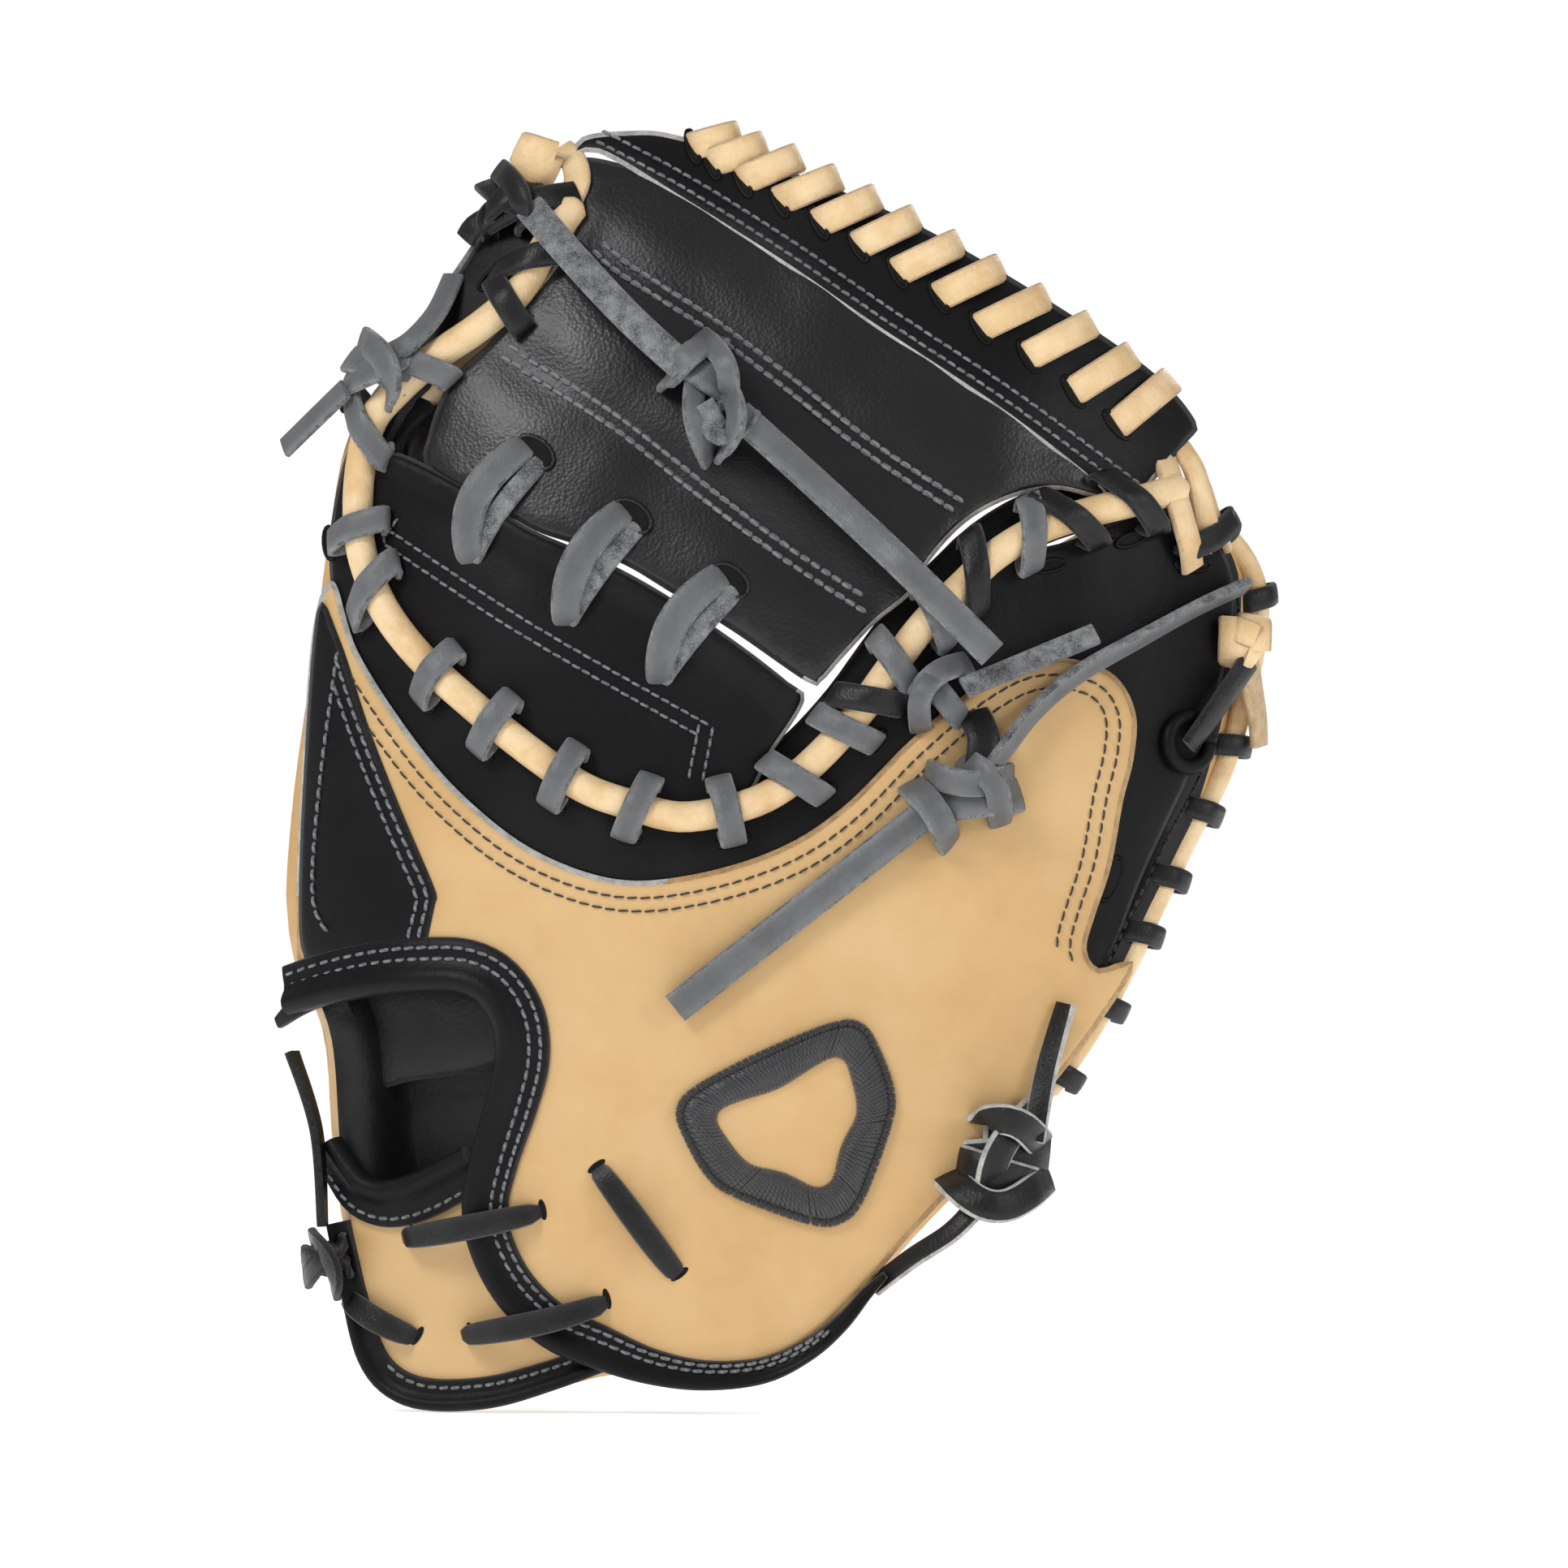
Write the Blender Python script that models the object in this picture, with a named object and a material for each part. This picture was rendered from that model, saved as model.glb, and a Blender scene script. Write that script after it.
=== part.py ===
"""Baseball catcher's mitt, standing on its heel: back of the hand towards -Y, pocket towards +Y, +Z up.

Each leather piece is an outline in the XZ plane, given in millimetres, that is laid over one curved
back surface and given its thickness along Y. The thumb side folds about a crease at CREASE_X, so the
pieces that cross the crease in real leather end there and begin again on its other side.
"""
import math

import bmesh
import bpy
from mathutils import Matrix, Vector, geometry

MM = 0.001
GAP = 0.35  # between neighbouring solids
BIG = 1000.0

# The back surface: flat in the middle, curling forward towards the sides, the web and the heel.
MID_X, MID_Z = -5.0, 140.0
HALF_WIDTH, RISE, DROP = 118.0, 168.0, 140.0
SIDE_CURL, TOP_CURL, HEEL_CURL = 40.0, 40.0, 12.0

# Depth of the padded body in front of the back surface.
CORE_DEPTH, RIM_DEPTH, RIM_REACH = 33.0, 45.0, 28.0
EDGE_ROUND, EDGE_SHARE, HEEL_SHARE = 18.0, 0.25, 0.4
PALM_LEATHER, LINER_LOW, LINER_HIGH = 2.2, 19.8, 21.0
PAD_SHARE = 0.88  # of the depth, that the felt fills
RIM_PAD_LOW = 2.0  # the rim's and the thumb's top felt reach this close to the back surface, or so
THUMB_PAD_LOW, THUMB_PAD_FROM, THUMB_PAD_RISE = 5.0, 112.0, 30.0
PAD_PARTING = 42.0  # height at which the heel's felt meets the palm's
HEM = 3.0  # height of the pocket leather's lower edge

# Layers of the back, as offsets along Y from the back surface.
UNDER_LAYER = (-1.7, 0.0)
SHELL_LAYER = (-4.2, -2.6)
BINDING_LAYER = (-6.8, -5.1)
WEB_LAYER = (-2.0, -0.2)
WEB_LINING_LAYER = (0.15, 1.7)
WEB_BAND_LAYER = (-4.2, -2.35)
STRAP_TRIM_LAYER = (-3.9, -2.35)

CREASE_X = -60.0  # where the thumb side folds
FINGER_SIDE = {"west": CREASE_X + 0.4}
THUMB_SIDE = {"east": CREASE_X - 0.4}
ROLL_RADIUS, RIM_ROLL_RADIUS = 4.0, 2.4
WRAP_RADIUS, LACE_RADIUS = 1.1, 2.4
EDGE_WRAP_PITCH, RIM_WRAP_PITCH = 19.0, 16.0
RIM_ROLL_DEPTH = 3.5  # of the rim roll's middle, in front of the back surface
WHIP_PITCH, WHIP_RADIUS = 10.5, 1.2  # the stitches along the top edge of the web
WHIP_FRONT, WHIP_BACK = 9.0, 4.0  # how far they reach in from that edge
SHIFT = (-0.1, -27.7, 0.0)  # puts the origin under the middle of the mitt, on what it stands on
TO_ROOM = Matrix.Scale(MM, 4) @ Matrix.Translation(SHIFT)

TAN = (0.80, 0.60, 0.36)
BLACK = (0.025, 0.025, 0.028)
GREY = (0.17, 0.18, 0.19)
CREAM = (0.88, 0.74, 0.52)
FELT = (0.75, 0.73, 0.68)

BODY_OUTLINE = [
    (86, 219), (103, 215), (111, 200), (108, 175), (101, 149), (92, 126), (81, 103), (66, 83),
    (49, 64), (32, 46), (17, 29), (2, 16), (-20, 8), (-45, 6), (-75, 5), (-93, 10), (-103, 30),
    (-109, 60), (-114, 95), (-116, 120), (-114, 150), (-109, 185), (-106, 215), (-101, 238),
    (-86, 260), (-71, 285), (-62, 296), (-50, 288), (-53, 268), (-66, 248), (-79, 232), (-84, 213),
    (-79, 195), (-66, 176), (-48, 158), (-28, 146), (-5, 150), (14, 166), (30, 186), (48, 200),
    (68, 209),
]


def smooth_line(points, closed, spacing):
    """Points about spacing apart on a Catmull-Rom curve through the given ones."""
    count = len(points)
    line = []
    for i in range(count if closed else count - 1):
        if closed:
            a, b, c, d = (Vector(points[(i + k) % count]) for k in (-1, 0, 1, 2))
        else:
            a, b, c, d = (Vector(points[min(max(i + k, 0), count - 1)]) for k in (-1, 0, 1, 2))
        steps = max(1, round((c - b).length / spacing))
        for step in range(steps):
            t = step / steps
            line.append(0.5 * (2 * b + (c - a) * t + (2 * a - 5 * b + 4 * c - d) * t * t
                               + (3 * b - a - 3 * c + d) * t ** 3))
    if not closed:
        line.append(Vector(points[-1]))
    return line


BODY_EDGE = smooth_line(BODY_OUTLINE, True, 8)


def edge_distance(x, z, edge):
    """Distance in XZ from a point to a closed outline."""
    point = Vector((x, z))
    nearest = 1e9
    for a, b in zip(edge, edge[1:] + edge[:1]):
        along = b - a
        share = min(max((point - a).dot(along) / along.length_squared, 0), 1)
        nearest = min(nearest, (point - a - along * share).length)
    return nearest


def is_inside(x, z, edge):
    """Whether a point is inside a closed outline."""
    inside = False
    for a, b in zip(edge, edge[1:] + edge[:1]):
        if (a.y > z) != (b.y > z) and x < a.x + (z - a.y) * (b.x - a.x) / (b.y - a.y):
            inside = not inside
    return inside


def back(x, z):
    """Y of the back surface."""
    side = SIDE_CURL * abs((x - MID_X) / HALF_WIDTH) ** 3
    if z > MID_Z:
        return side + TOP_CURL * ((z - MID_Z) / RISE) ** 2.5
    return side + HEEL_CURL * ((MID_Z - z) / DROP) ** 3


def front(x, z):
    """Y of the pocket's leather: thick at the rim, rounded over at its edge, wide open at the heel."""
    reach = edge_distance(x, z, BODY_EDGE)
    depth = CORE_DEPTH + (RIM_DEPTH - CORE_DEPTH) * math.exp(-((reach / RIM_REACH) ** 2))
    turn = 1 - min(reach / EDGE_ROUND, 1)
    share = EDGE_SHARE + HEEL_SHARE * min(max((50 - z) / 40, 0), 1)
    return back(x, z) + depth * (share + (1 - share) * math.sqrt(1 - turn * turn))


def lifted(x, z, height):
    """A point height outside the back surface, measured along the surface's normal."""
    slope_x = (back(x + 1, z) - back(x - 1, z)) / 2
    slope_z = (back(x, z + 1) - back(x, z - 1)) / 2
    normal = Vector((slope_x, -1, slope_z)).normalized()
    return Vector((x, back(x, z), z)) + normal * height


def material(name, colour, roughness):
    found = bpy.data.materials.new(name)
    found.use_nodes = True
    shader = found.node_tree.nodes["Principled BSDF"]
    shader.inputs["Base Color"].default_value = (*colour, 1)
    shader.inputs["Roughness"].default_value = roughness
    shader.inputs["Metallic"].default_value = 0
    return found


def place(name, data, colour, roughness):
    """Put a mesh or curve in the mitt's collection, with its own material."""
    data.materials.append(material(name, colour, roughness))
    piece = bpy.data.objects.new(name, data)
    parts.objects.link(piece)
    return piece


def sheet(name, outline, low, high, colour, cell=13, spacing=7, west=-BIG, east=BIG, floor=0.0,
          ceiling=BIG):
    """A leather piece or pad: an outline, kept inside limits, between two depth functions of (x, z)."""
    edge = [Vector((min(max(p.x, west), east), min(max(p.y, floor), ceiling)))
            for p in smooth_line(outline, True, spacing)]
    xs, zs = [p.x for p in edge], [p.y for p in edge]
    inner = []
    for row in range(int((max(zs) - min(zs)) / cell) + 1):
        for column in range(int((max(xs) - min(xs)) / cell) + 1):
            x = min(xs) + (column + 0.5 * (row % 2)) * cell
            z = min(zs) + row * cell
            if is_inside(x, z, edge) and edge_distance(x, z, edge) > 0.5 * cell:
                inner.append(Vector((x, z)))
    rim = [(i, (i + 1) % len(edge)) for i in range(len(edge))]
    flat = geometry.delaunay_2d_cdt(edge + inner, rim, [], 1, 1e-5)
    bm = bmesh.new()
    corners = [bm.verts.new((p.x, low(p.x, p.y), p.y)) for p in flat[0]]
    faces = [bm.faces.new([corners[i] for i in face]) for face in flat[2]]
    raised = bmesh.ops.extrude_face_region(bm, geom=faces)["geom"]
    for vert in raised:
        if isinstance(vert, bmesh.types.BMVert):
            vert.co.y = high(vert.co.x, vert.co.z)
    bmesh.ops.recalc_face_normals(bm, faces=bm.faces)
    bm.transform(TO_ROOM)
    data = bpy.data.meshes.new(name)
    bm.to_mesh(data)
    bm.free()
    return place(name, data, colour, 0.6)


def layer_sheet(name, outline, layer, colour, **options):
    """A leather piece of the back, in one of its layers."""
    return sheet(name, outline, lambda x, z: back(x, z) + layer[0],
                 lambda x, z: back(x, z) + layer[1], colour, **options)


def strip_outline(centre, width):
    """The outline of a strip of even width along a centreline."""
    line = smooth_line(centre, False, 9)
    sides = ([], [])
    for i, point in enumerate(line):
        along = (line[min(i + 1, len(line) - 1)] - line[max(i - 1, 0)]).normalized()
        across = Vector((-along.y, along.x)) * width / 2
        sides[0].append(point + across)
        sides[1].append(point - across)
    return sides[0] + sides[1][::-1]


def tube(name, points, radius, colour, resolution=2):
    """A round lace or roll along points, with closed ends."""
    data = bpy.data.curves.new(name, "CURVE")
    data.dimensions = "3D"
    data.bevel_depth = radius * MM
    data.bevel_resolution = resolution
    data.use_fill_caps = True
    line = data.splines.new("POLY")
    line.points.add(len(points) - 1)
    for spot, point in zip(line.points, points):
        spot.co = (*(TO_ROOM @ point), 1)
    return place(name, data, colour, 0.65)


def laid(route, height, spacing):
    """A line through (x, z) points, lifted off the back."""
    return [lifted(p.x, p.y, height) for p in smooth_line(route, False, spacing)]


def wrapped(path, radius, pitch, steps=8):
    """A helix of the given radius and pitch round a path of points."""
    last = len(path) - 1
    runs = [(path[min(i + 1, last)] - path[max(i - 1, 0)]).normalized() for i in range(last + 1)]
    line = []
    travelled = 0.0
    for i in range(last):
        length = (path[i + 1] - path[i]).length
        while travelled < length:
            share = travelled / length
            along = runs[i].lerp(runs[i + 1], share)
            side = along.cross(Vector((0, -1, 0))).normalized()
            out = side.cross(along).normalized()
            angle = 2 * math.pi * len(line) / steps
            ring = side * math.sin(angle) + out * math.cos(angle)
            line.append(path[i].lerp(path[i + 1], share) + ring * radius)
            travelled += pitch / steps
        travelled -= length
    return line


def knot(name, centre, sizes, colour):
    """A lace knot as a plain rounded lump."""
    bm = bmesh.new()
    bmesh.ops.create_uvsphere(bm, u_segments=10, v_segments=7, radius=1)
    bm.transform(TO_ROOM @ Matrix.Translation(centre) @ Matrix.Diagonal((*sizes, 1)))
    data = bpy.data.meshes.new(name)
    bm.to_mesh(data)
    bm.free()
    return place(name, data, colour, 0.7)


def make_back():
    """The leathers of the back of the hand, from the inner layer outwards."""
    layer_sheet("collar", [
        (-59.5, 132), (-40, 125), (-20, 126), (0, 133), (17, 143), (32, 158), (47, 168),
        (48.5, 203), (38, 196), (28, 186), (20, 173), (10, 160), (0, 151), (-12, 145), (-28, 143),
        (-45, 149), (-59.5, 157)], UNDER_LAYER, BLACK, east=48.6, **FINGER_SIDE)
    layer_sheet("thumb_collar", [
        (-60.5, 132), (-79, 145), (-93, 160), (-105, 181), (-110, 203), (-103, 204), (-99, 197),
        (-90, 184), (-76, 170), (-60.5, 157)], UNDER_LAYER, BLACK, **THUMB_SIDE)
    layer_sheet("horn_collar", [
        (-110, 207), (-107, 225), (-101, 240), (-86, 262), (-71, 287), (-63, 297), (-55, 292),
        (-59, 281), (-68, 268), (-88, 254), (-101, 236), (-104, 220), (-103.5, 208)],
        UNDER_LAYER, BLACK)
    layer_sheet("finger_side_panel", [
        (49.5, 204), (70, 212), (88, 219), (103, 215), (111, 200), (108, 175), (101, 149),
        (92, 126), (81, 103), (72, 101), (70, 110), (75, 125), (79, 150), (78, 166), (71, 173),
        (60, 173), (49.5, 169)], UNDER_LAYER, BLACK, west=49.4)
    layer_sheet("back_shell", [
        (-59.5, 136), (-40, 129), (-20, 130), (0, 137), (15, 147), (30, 162), (45, 173), (62, 180),
        (74, 178), (84, 168), (85, 150), (80, 125), (75, 108), (80, 103), (66, 83), (49, 64),
        (32, 46), (17, 29), (2, 17), (-20, 10), (-45, 14), (-56, 26), (-59.5, 40), (-59.5, 70),
        (-59.5, 100)], SHELL_LAYER, TAN, **FINGER_SIDE)
    layer_sheet("thumb_shell", [
        (-60.5, 136), (-77, 149), (-90, 164), (-103, 184), (-109, 201), (-113, 190), (-116, 150),
        (-117, 120), (-115, 104), (-90, 103), (-75, 103), (-60.5, 103)], SHELL_LAYER, TAN, **THUMB_SIDE)
    layer_sheet("thumb_panel", [
        (-112, 194), (-107, 186), (-100, 165), (-92, 145), (-84, 127), (-86, 114.5), (-100, 113),
        (-112, 111.5), (-117, 121), (-116, 150)], BINDING_LAYER, BLACK)


def make_opening():
    """The bindings round the hand opening and along the heel, and the wrist strap."""
    layer_sheet("thumb_binding", strip_outline(
        [(-120.8, 104), (-105, 106), (-90, 108), (-77, 107), (-69, 104)], 8),
        BINDING_LAYER, BLACK, cell=30)
    layer_sheet("opening_binding", strip_outline(
        [(-62, 98), (-61, 90), (-63, 76), (-68, 60), (-70, 46), (-66, 34), (-55, 23), (-38, 15),
         (-18, 11), (0, 14), (12, 22), (22, 33)], 9), BINDING_LAYER, BLACK, cell=30)
    layer_sheet("wrist_strap", [
        (-107, 54), (-95, 54), (-80, 60), (-72, 62), (-67, 50), (-66, 38), (-58, 27), (-48, 20),
        (-47, 9), (-60, 4), (-75, -1), (-90, -2), (-99, 8), (-104, 30)],
        WEB_LAYER, TAN, floor=0.0)
    layer_sheet("strap_top_binding", strip_outline(
        [(-106, 57), (-97, 55), (-86, 57.5), (-76.5, 61)], 8), STRAP_TRIM_LAYER, BLACK, cell=30)
    layer_sheet("strap_base_binding", strip_outline(
        [(-100, 9), (-94, 3.5), (-84, 2), (-70, 3.8), (-57, 7)], 5), STRAP_TRIM_LAYER, BLACK,
        cell=30, floor=0.0)


def make_inside():
    """The hand's lining and the felt pads between it and the pocket's leather."""
    def liner_low(x, z):
        return back(x, z) + LINER_LOW

    def liner_high(x, z):
        return back(x, z) + LINER_HIGH

    def pad_low(x, z):
        return back(x, z) + LINER_HIGH + 2 * GAP

    def pad_high(x, z):
        return back(x, z) + (front(x, z) - back(x, z)) * PAD_SHARE - PALM_LEATHER

    def thumb_low(x, z):
        share = min(max((z - THUMB_PAD_FROM) / THUMB_PAD_RISE, 0), 1)
        return back(x, z) + (LINER_HIGH + 9 * GAP) * (1 - share) + THUMB_PAD_LOW * share

    sheet("palm_liner", [
        (-59.5, 18), (-20, 20), (-2, 28), (23, 54), (36, 78), (43, 108), (44, 138), (34, 152),
        (20, 150), (2, 136), (-30, 132), (-59.5, 142)], liner_low, liner_high, BLACK, cell=16,
        **FINGER_SIDE)
    sheet("thumb_liner", [
        (-60.5, 18), (-84, 19), (-93, 34), (-98, 62), (-101, 95), (-101, 108), (-90, 109),
        (-60.5, 109)], liner_low, liner_high, BLACK, cell=16, **THUMB_SIDE)
    sheet("palm_pad", [
        (-56, 44), (10, 44), (26, 62), (36, 80), (42, 108), (43, 140), (36, 152), (20, 148),
        (0, 133), (-30, 129), (-56, 136)], pad_low, pad_high, FELT, cell=12, floor=PAD_PARTING + 2,
        west=-57)
    sheet("heel_pad", [
        (-56, 19), (-20, 22), (-5, 28), (10, 41), (-56, 41)], pad_low, pad_high, FELT, ceiling=PAD_PARTING,
        west=-57)
    sheet("thumb_pad", [
        (-64, 23), (-82, 25), (-90, 38), (-96, 62), (-100, 95), (-102, 120), (-100, 150),
        (-97, 174), (-94, 184), (-91, 185), (-87, 178), (-78, 164), (-66, 149)],
        thumb_low, pad_high, FELT, cell=10, east=-62.5)
    sheet("finger_pad", [
        (82, 205), (95, 203), (99, 196), (96, 176), (90, 152), (81, 130), (70, 108), (58, 92),
        (48, 82), (48, 90), (51, 108), (52, 140), (48, 162), (42, 177), (55, 188), (70, 197)],
        lambda x, z: back(x, z) + RIM_PAD_LOW, pad_high, FELT, cell=10)


def make_pocket():
    """The leather of the pocket, which rolls over the rim towards the back."""
    def low(x, z):
        return front(x, z) - PALM_LEATHER

    sheet("palm_leather", [
        (86, 219), (103, 215), (111, 200), (108, 175), (101, 149), (92, 126), (81, 103), (66, 83),
        (49, 64), (32, 46), (17, 29), (2, 16), (-20, 8), (-45, 6), (-59.5, 5), (-59.5, 80),
        (-59.5, 166), (-28, 146), (-5, 150), (14, 166), (30, 186), (48, 200), (68, 209)],
        low, front, TAN, cell=10, floor=HEM, **FINGER_SIDE)
    sheet("thumb_leather", [
        (-60.5, 5), (-75, 5), (-93, 10), (-103, 30), (-109, 60), (-114, 95), (-116, 120),
        (-114, 150), (-109, 185), (-106, 215), (-101, 238), (-95, 246), (-85, 244), (-80, 232),
        (-84, 213), (-79, 195), (-66, 176), (-60.5, 170), (-60.5, 80)], low, front, TAN, cell=10,
        floor=HEM, **THUMB_SIDE)


def make_web():
    """The closed web: a top band, a main panel and a lower panel, each with its lining."""
    main = [
        (-50, 303), (-50, 291), (-52, 282), (-61, 271), (-70, 262), (-82, 254), (-92, 243),
        (-86, 238), (-72, 229), (-55, 216), (-35, 202), (-15, 188), (0, 178), (8, 175), (14, 186),
        (22, 196), (30, 204), (42, 212), (55, 219), (66, 221), (76, 220), (82, 221), (62, 239),
        (30, 261), (0, 281), (-25, 296)]
    lower = [
        (-97, 228), (-88, 229), (-70, 218), (-50, 204), (-30, 192), (-10, 179), (-1, 171),
        (-6, 161), (-12, 153), (-28, 151), (-55, 163), (-72, 176), (-86, 191), (-94, 204),
        (-98, 218)]
    band = [
        (-51, 308), (-40, 309), (-25, 307), (0, 298), (30, 284), (60, 267), (88, 249), (100, 238),
        (95, 231), (86, 219), (70, 229), (50, 243), (20, 263), (0, 277), (-25, 293), (-49, 306)]
    layer_sheet("web_main_panel", main, WEB_LAYER, BLACK, cell=15)
    layer_sheet("web_main_lining", main, WEB_LINING_LAYER, BLACK, cell=15)
    layer_sheet("web_lower_panel", lower, WEB_LAYER, BLACK)
    layer_sheet("web_lower_lining", lower, WEB_LINING_LAYER, BLACK)
    layer_sheet("web_top_band", band, WEB_BAND_LAYER, BLACK)


def make_edge_laces():
    """The rolled edges, and the laces that bind them and the web."""
    ring = [(-58, 283), (-66, 271), (-86, 258), (-100, 242), (-105, 220), (-102, 203), (-90, 187),
            (-75, 173), (-58, 160), (-45, 152), (-28, 147), (-10, 149), (4, 157), (16, 170),
            (25, 184), (34, 194), (50, 206), (70, 214), (84, 216)]
    ring_height = WEB_LINING_LAYER[1] + ROLL_RADIUS + 2 * WRAP_RADIUS + 4 * GAP
    roll = laid(ring, ring_height, 8)
    tube("edge_roll", roll, ROLL_RADIUS, CREAM)
    tube("edge_lace", wrapped(roll, ROLL_RADIUS + 2 * GAP + WRAP_RADIUS, EDGE_WRAP_PITCH),
         WRAP_RADIUS, GREY)

    rim = [(117, 202), (114, 175), (108, 149), (99, 125), (89, 104), (75, 82)]
    rim_path = [Vector((p.x, back(p.x, p.y) + RIM_ROLL_DEPTH, p.y)) for p in smooth_line(rim, False, 9)]
    tube("rim_roll", rim_path, RIM_ROLL_RADIUS, CREAM)
    tube("rim_lace", wrapped(rim_path, RIM_ROLL_RADIUS + 2 * GAP + WRAP_RADIUS, RIM_WRAP_PITCH),
         WRAP_RADIUS, BLACK)

    top_edge = [(-27, 307), (0, 298), (30, 284), (60, 267), (88, 249)]
    lace = []
    for point in smooth_line(top_edge, False, WHIP_PITCH):
        inwards = Vector((-0.45, -0.89))
        near, far = point + inwards * WHIP_FRONT, point + inwards * WHIP_BACK + Vector((5, -2.4))
        over = lifted(point.x + 2.8, point.y + 5.4, 1)
        behind = Vector((far.x, back(far.x, far.y) + 2.2, far.y))
        lace += [lifted(near.x, near.y, 8), lifted(point.x + 1.5, point.y + 4, 8.5), over, behind]
        lace.append(over + Vector((5, -6.5, 1)))
    tube("web_top_lace", lace[:-1], WHIP_RADIUS, CREAM)


def make_cross_laces():
    """The short laces that bridge a seam, each bowed off the leather."""
    web_loops = [((-73, 207), (-60, 231)), ((-50, 193), (-37, 217)), ((-27, 180), (-12, 201))]
    for i, (low, high) in enumerate(web_loops):
        middle = ((low[0] + high[0]) / 2 - 3, (low[1] + high[1]) / 2 + 2)
        tube(f"web_cross_lace_{i + 1}", [lifted(*low, 5), lifted(*middle, 10), lifted(*high, 5)],
             LACE_RADIUS, GREY)
    seams = {
        "strap_lace_upper": [(-88, 43), (-74, 44), (-59, 48)],
        "strap_lace_lower": [(-73, 19), (-60, 21.5), (-45, 27)],
        "heel_lace": [(-43, 58), (-34, 46), (-27, 35)],
    }
    for name, (low, middle, high) in seams.items():
        height = -BINDING_LAYER[0] + 2 * GAP + LACE_RADIUS
        tube(name, [lifted(*low, height), lifted(*middle, height + 1.5), lifted(*high, height)],
             LACE_RADIUS, BLACK)


def make_ties():
    """The knots, the ties that run into them, and their free tails."""
    knots = {
        "web_tie_knot": (lifted(-19, 248, 13), (8, 5, 7), GREY),
        "finger_tie_knot": (lifted(42, 149, 10), (9, 5.5, 7), GREY),
        "side_tie_knot": (lifted(37, 173, 11), (5, 4.5, 7), GREY),
        "heel_tie_knot": (lifted(53, 56, 12), (9, 7, 10), BLACK),
        "wrist_tie_knot": (lifted(-106, 36, 9), (5, 5, 7), BLACK),
        "thumb_tie_knot": (lifted(-88, 246, 24), (6, 5.5, 7), GREY),
        "horn_top_knot": (lifted(-72, 297, 7), (6, 5.5, 7), BLACK),
        "web_top_knot": (lifted(-61, 300, 6), (6, 5.5, 6), CREAM),
        "rim_top_knot": (lifted(110, 187, 10), (5, 5, 6), CREAM),
    }
    for name, (centre, sizes, colour) in knots.items():
        knot(name, centre, sizes, colour)
    tube("web_tie", laid([(-60, 291), (-42, 272), (-28, 257)], 19, 9), LACE_RADIUS, GREY)
    tube("finger_tie", laid([(110, 197), (90, 185), (68, 171), (53, 157)], 10, 9), 2, GREY)
    tube("heel_tie", [lifted(24, 33, 9), lifted(34, 41, 13), lifted(43, 46, 14)], 1.8, BLACK)
    tails = {
        "web_tie_tail": ([(-11, 241, 13), (10, 222, 11), (30, 203, 20), (50, 183, 20)], 2.4, GREY),
        "finger_tie_tail": ([(33, 144, 9), (10, 126, 7.5), (-12, 109, 8), (-26, 98, 8)], 2.4, GREY),
        "side_tie_tail": ([(43.5, 175, 11), (58, 181, 9), (75, 188, 8)], 2.2, GREY),
        "heel_tie_tail": ([(60, 66, 12), (63, 82, 9), (68, 99, 8)], 2, BLACK),
        "wrist_tie_tail": ([(-111.5, 45, 9), (-113, 68, 9), (-119, 87, 11)], 2, BLACK),
        "rim_top_tail": ([(107, 180, 11), (102, 170, 11), (96, 159, 9)], 2.2, BLACK),
    }
    for name, (route, radius, colour) in tails.items():
        heights = smooth_line([(i, p[2]) for i, p in enumerate(route)], False, 0.25)
        places = smooth_line([p[:2] for p in route], False, 5)
        line = []
        for i, spot in enumerate(places):
            height = heights[round(i * (len(heights) - 1) / (len(places) - 1))].y
            line.append(Vector((spot.x, back(spot.x, spot.y) - height, spot.y)))
        tube(name, line, radius, colour)


for old in list(bpy.data.objects):
    bpy.data.objects.remove(old)
parts = bpy.data.collections.new("catchers_mitt")
bpy.context.scene.collection.children.link(parts)
make_back()
make_opening()
make_inside()
make_pocket()
make_web()
make_edge_laces()
make_cross_laces()
make_ties()
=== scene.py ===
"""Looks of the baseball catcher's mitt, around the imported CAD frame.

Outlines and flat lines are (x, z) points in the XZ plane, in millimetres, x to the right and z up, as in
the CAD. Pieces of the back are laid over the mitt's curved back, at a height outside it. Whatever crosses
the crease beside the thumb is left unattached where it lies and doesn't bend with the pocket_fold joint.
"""
import math

import bpy
import numpy as np
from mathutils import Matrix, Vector, geometry, noise


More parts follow.
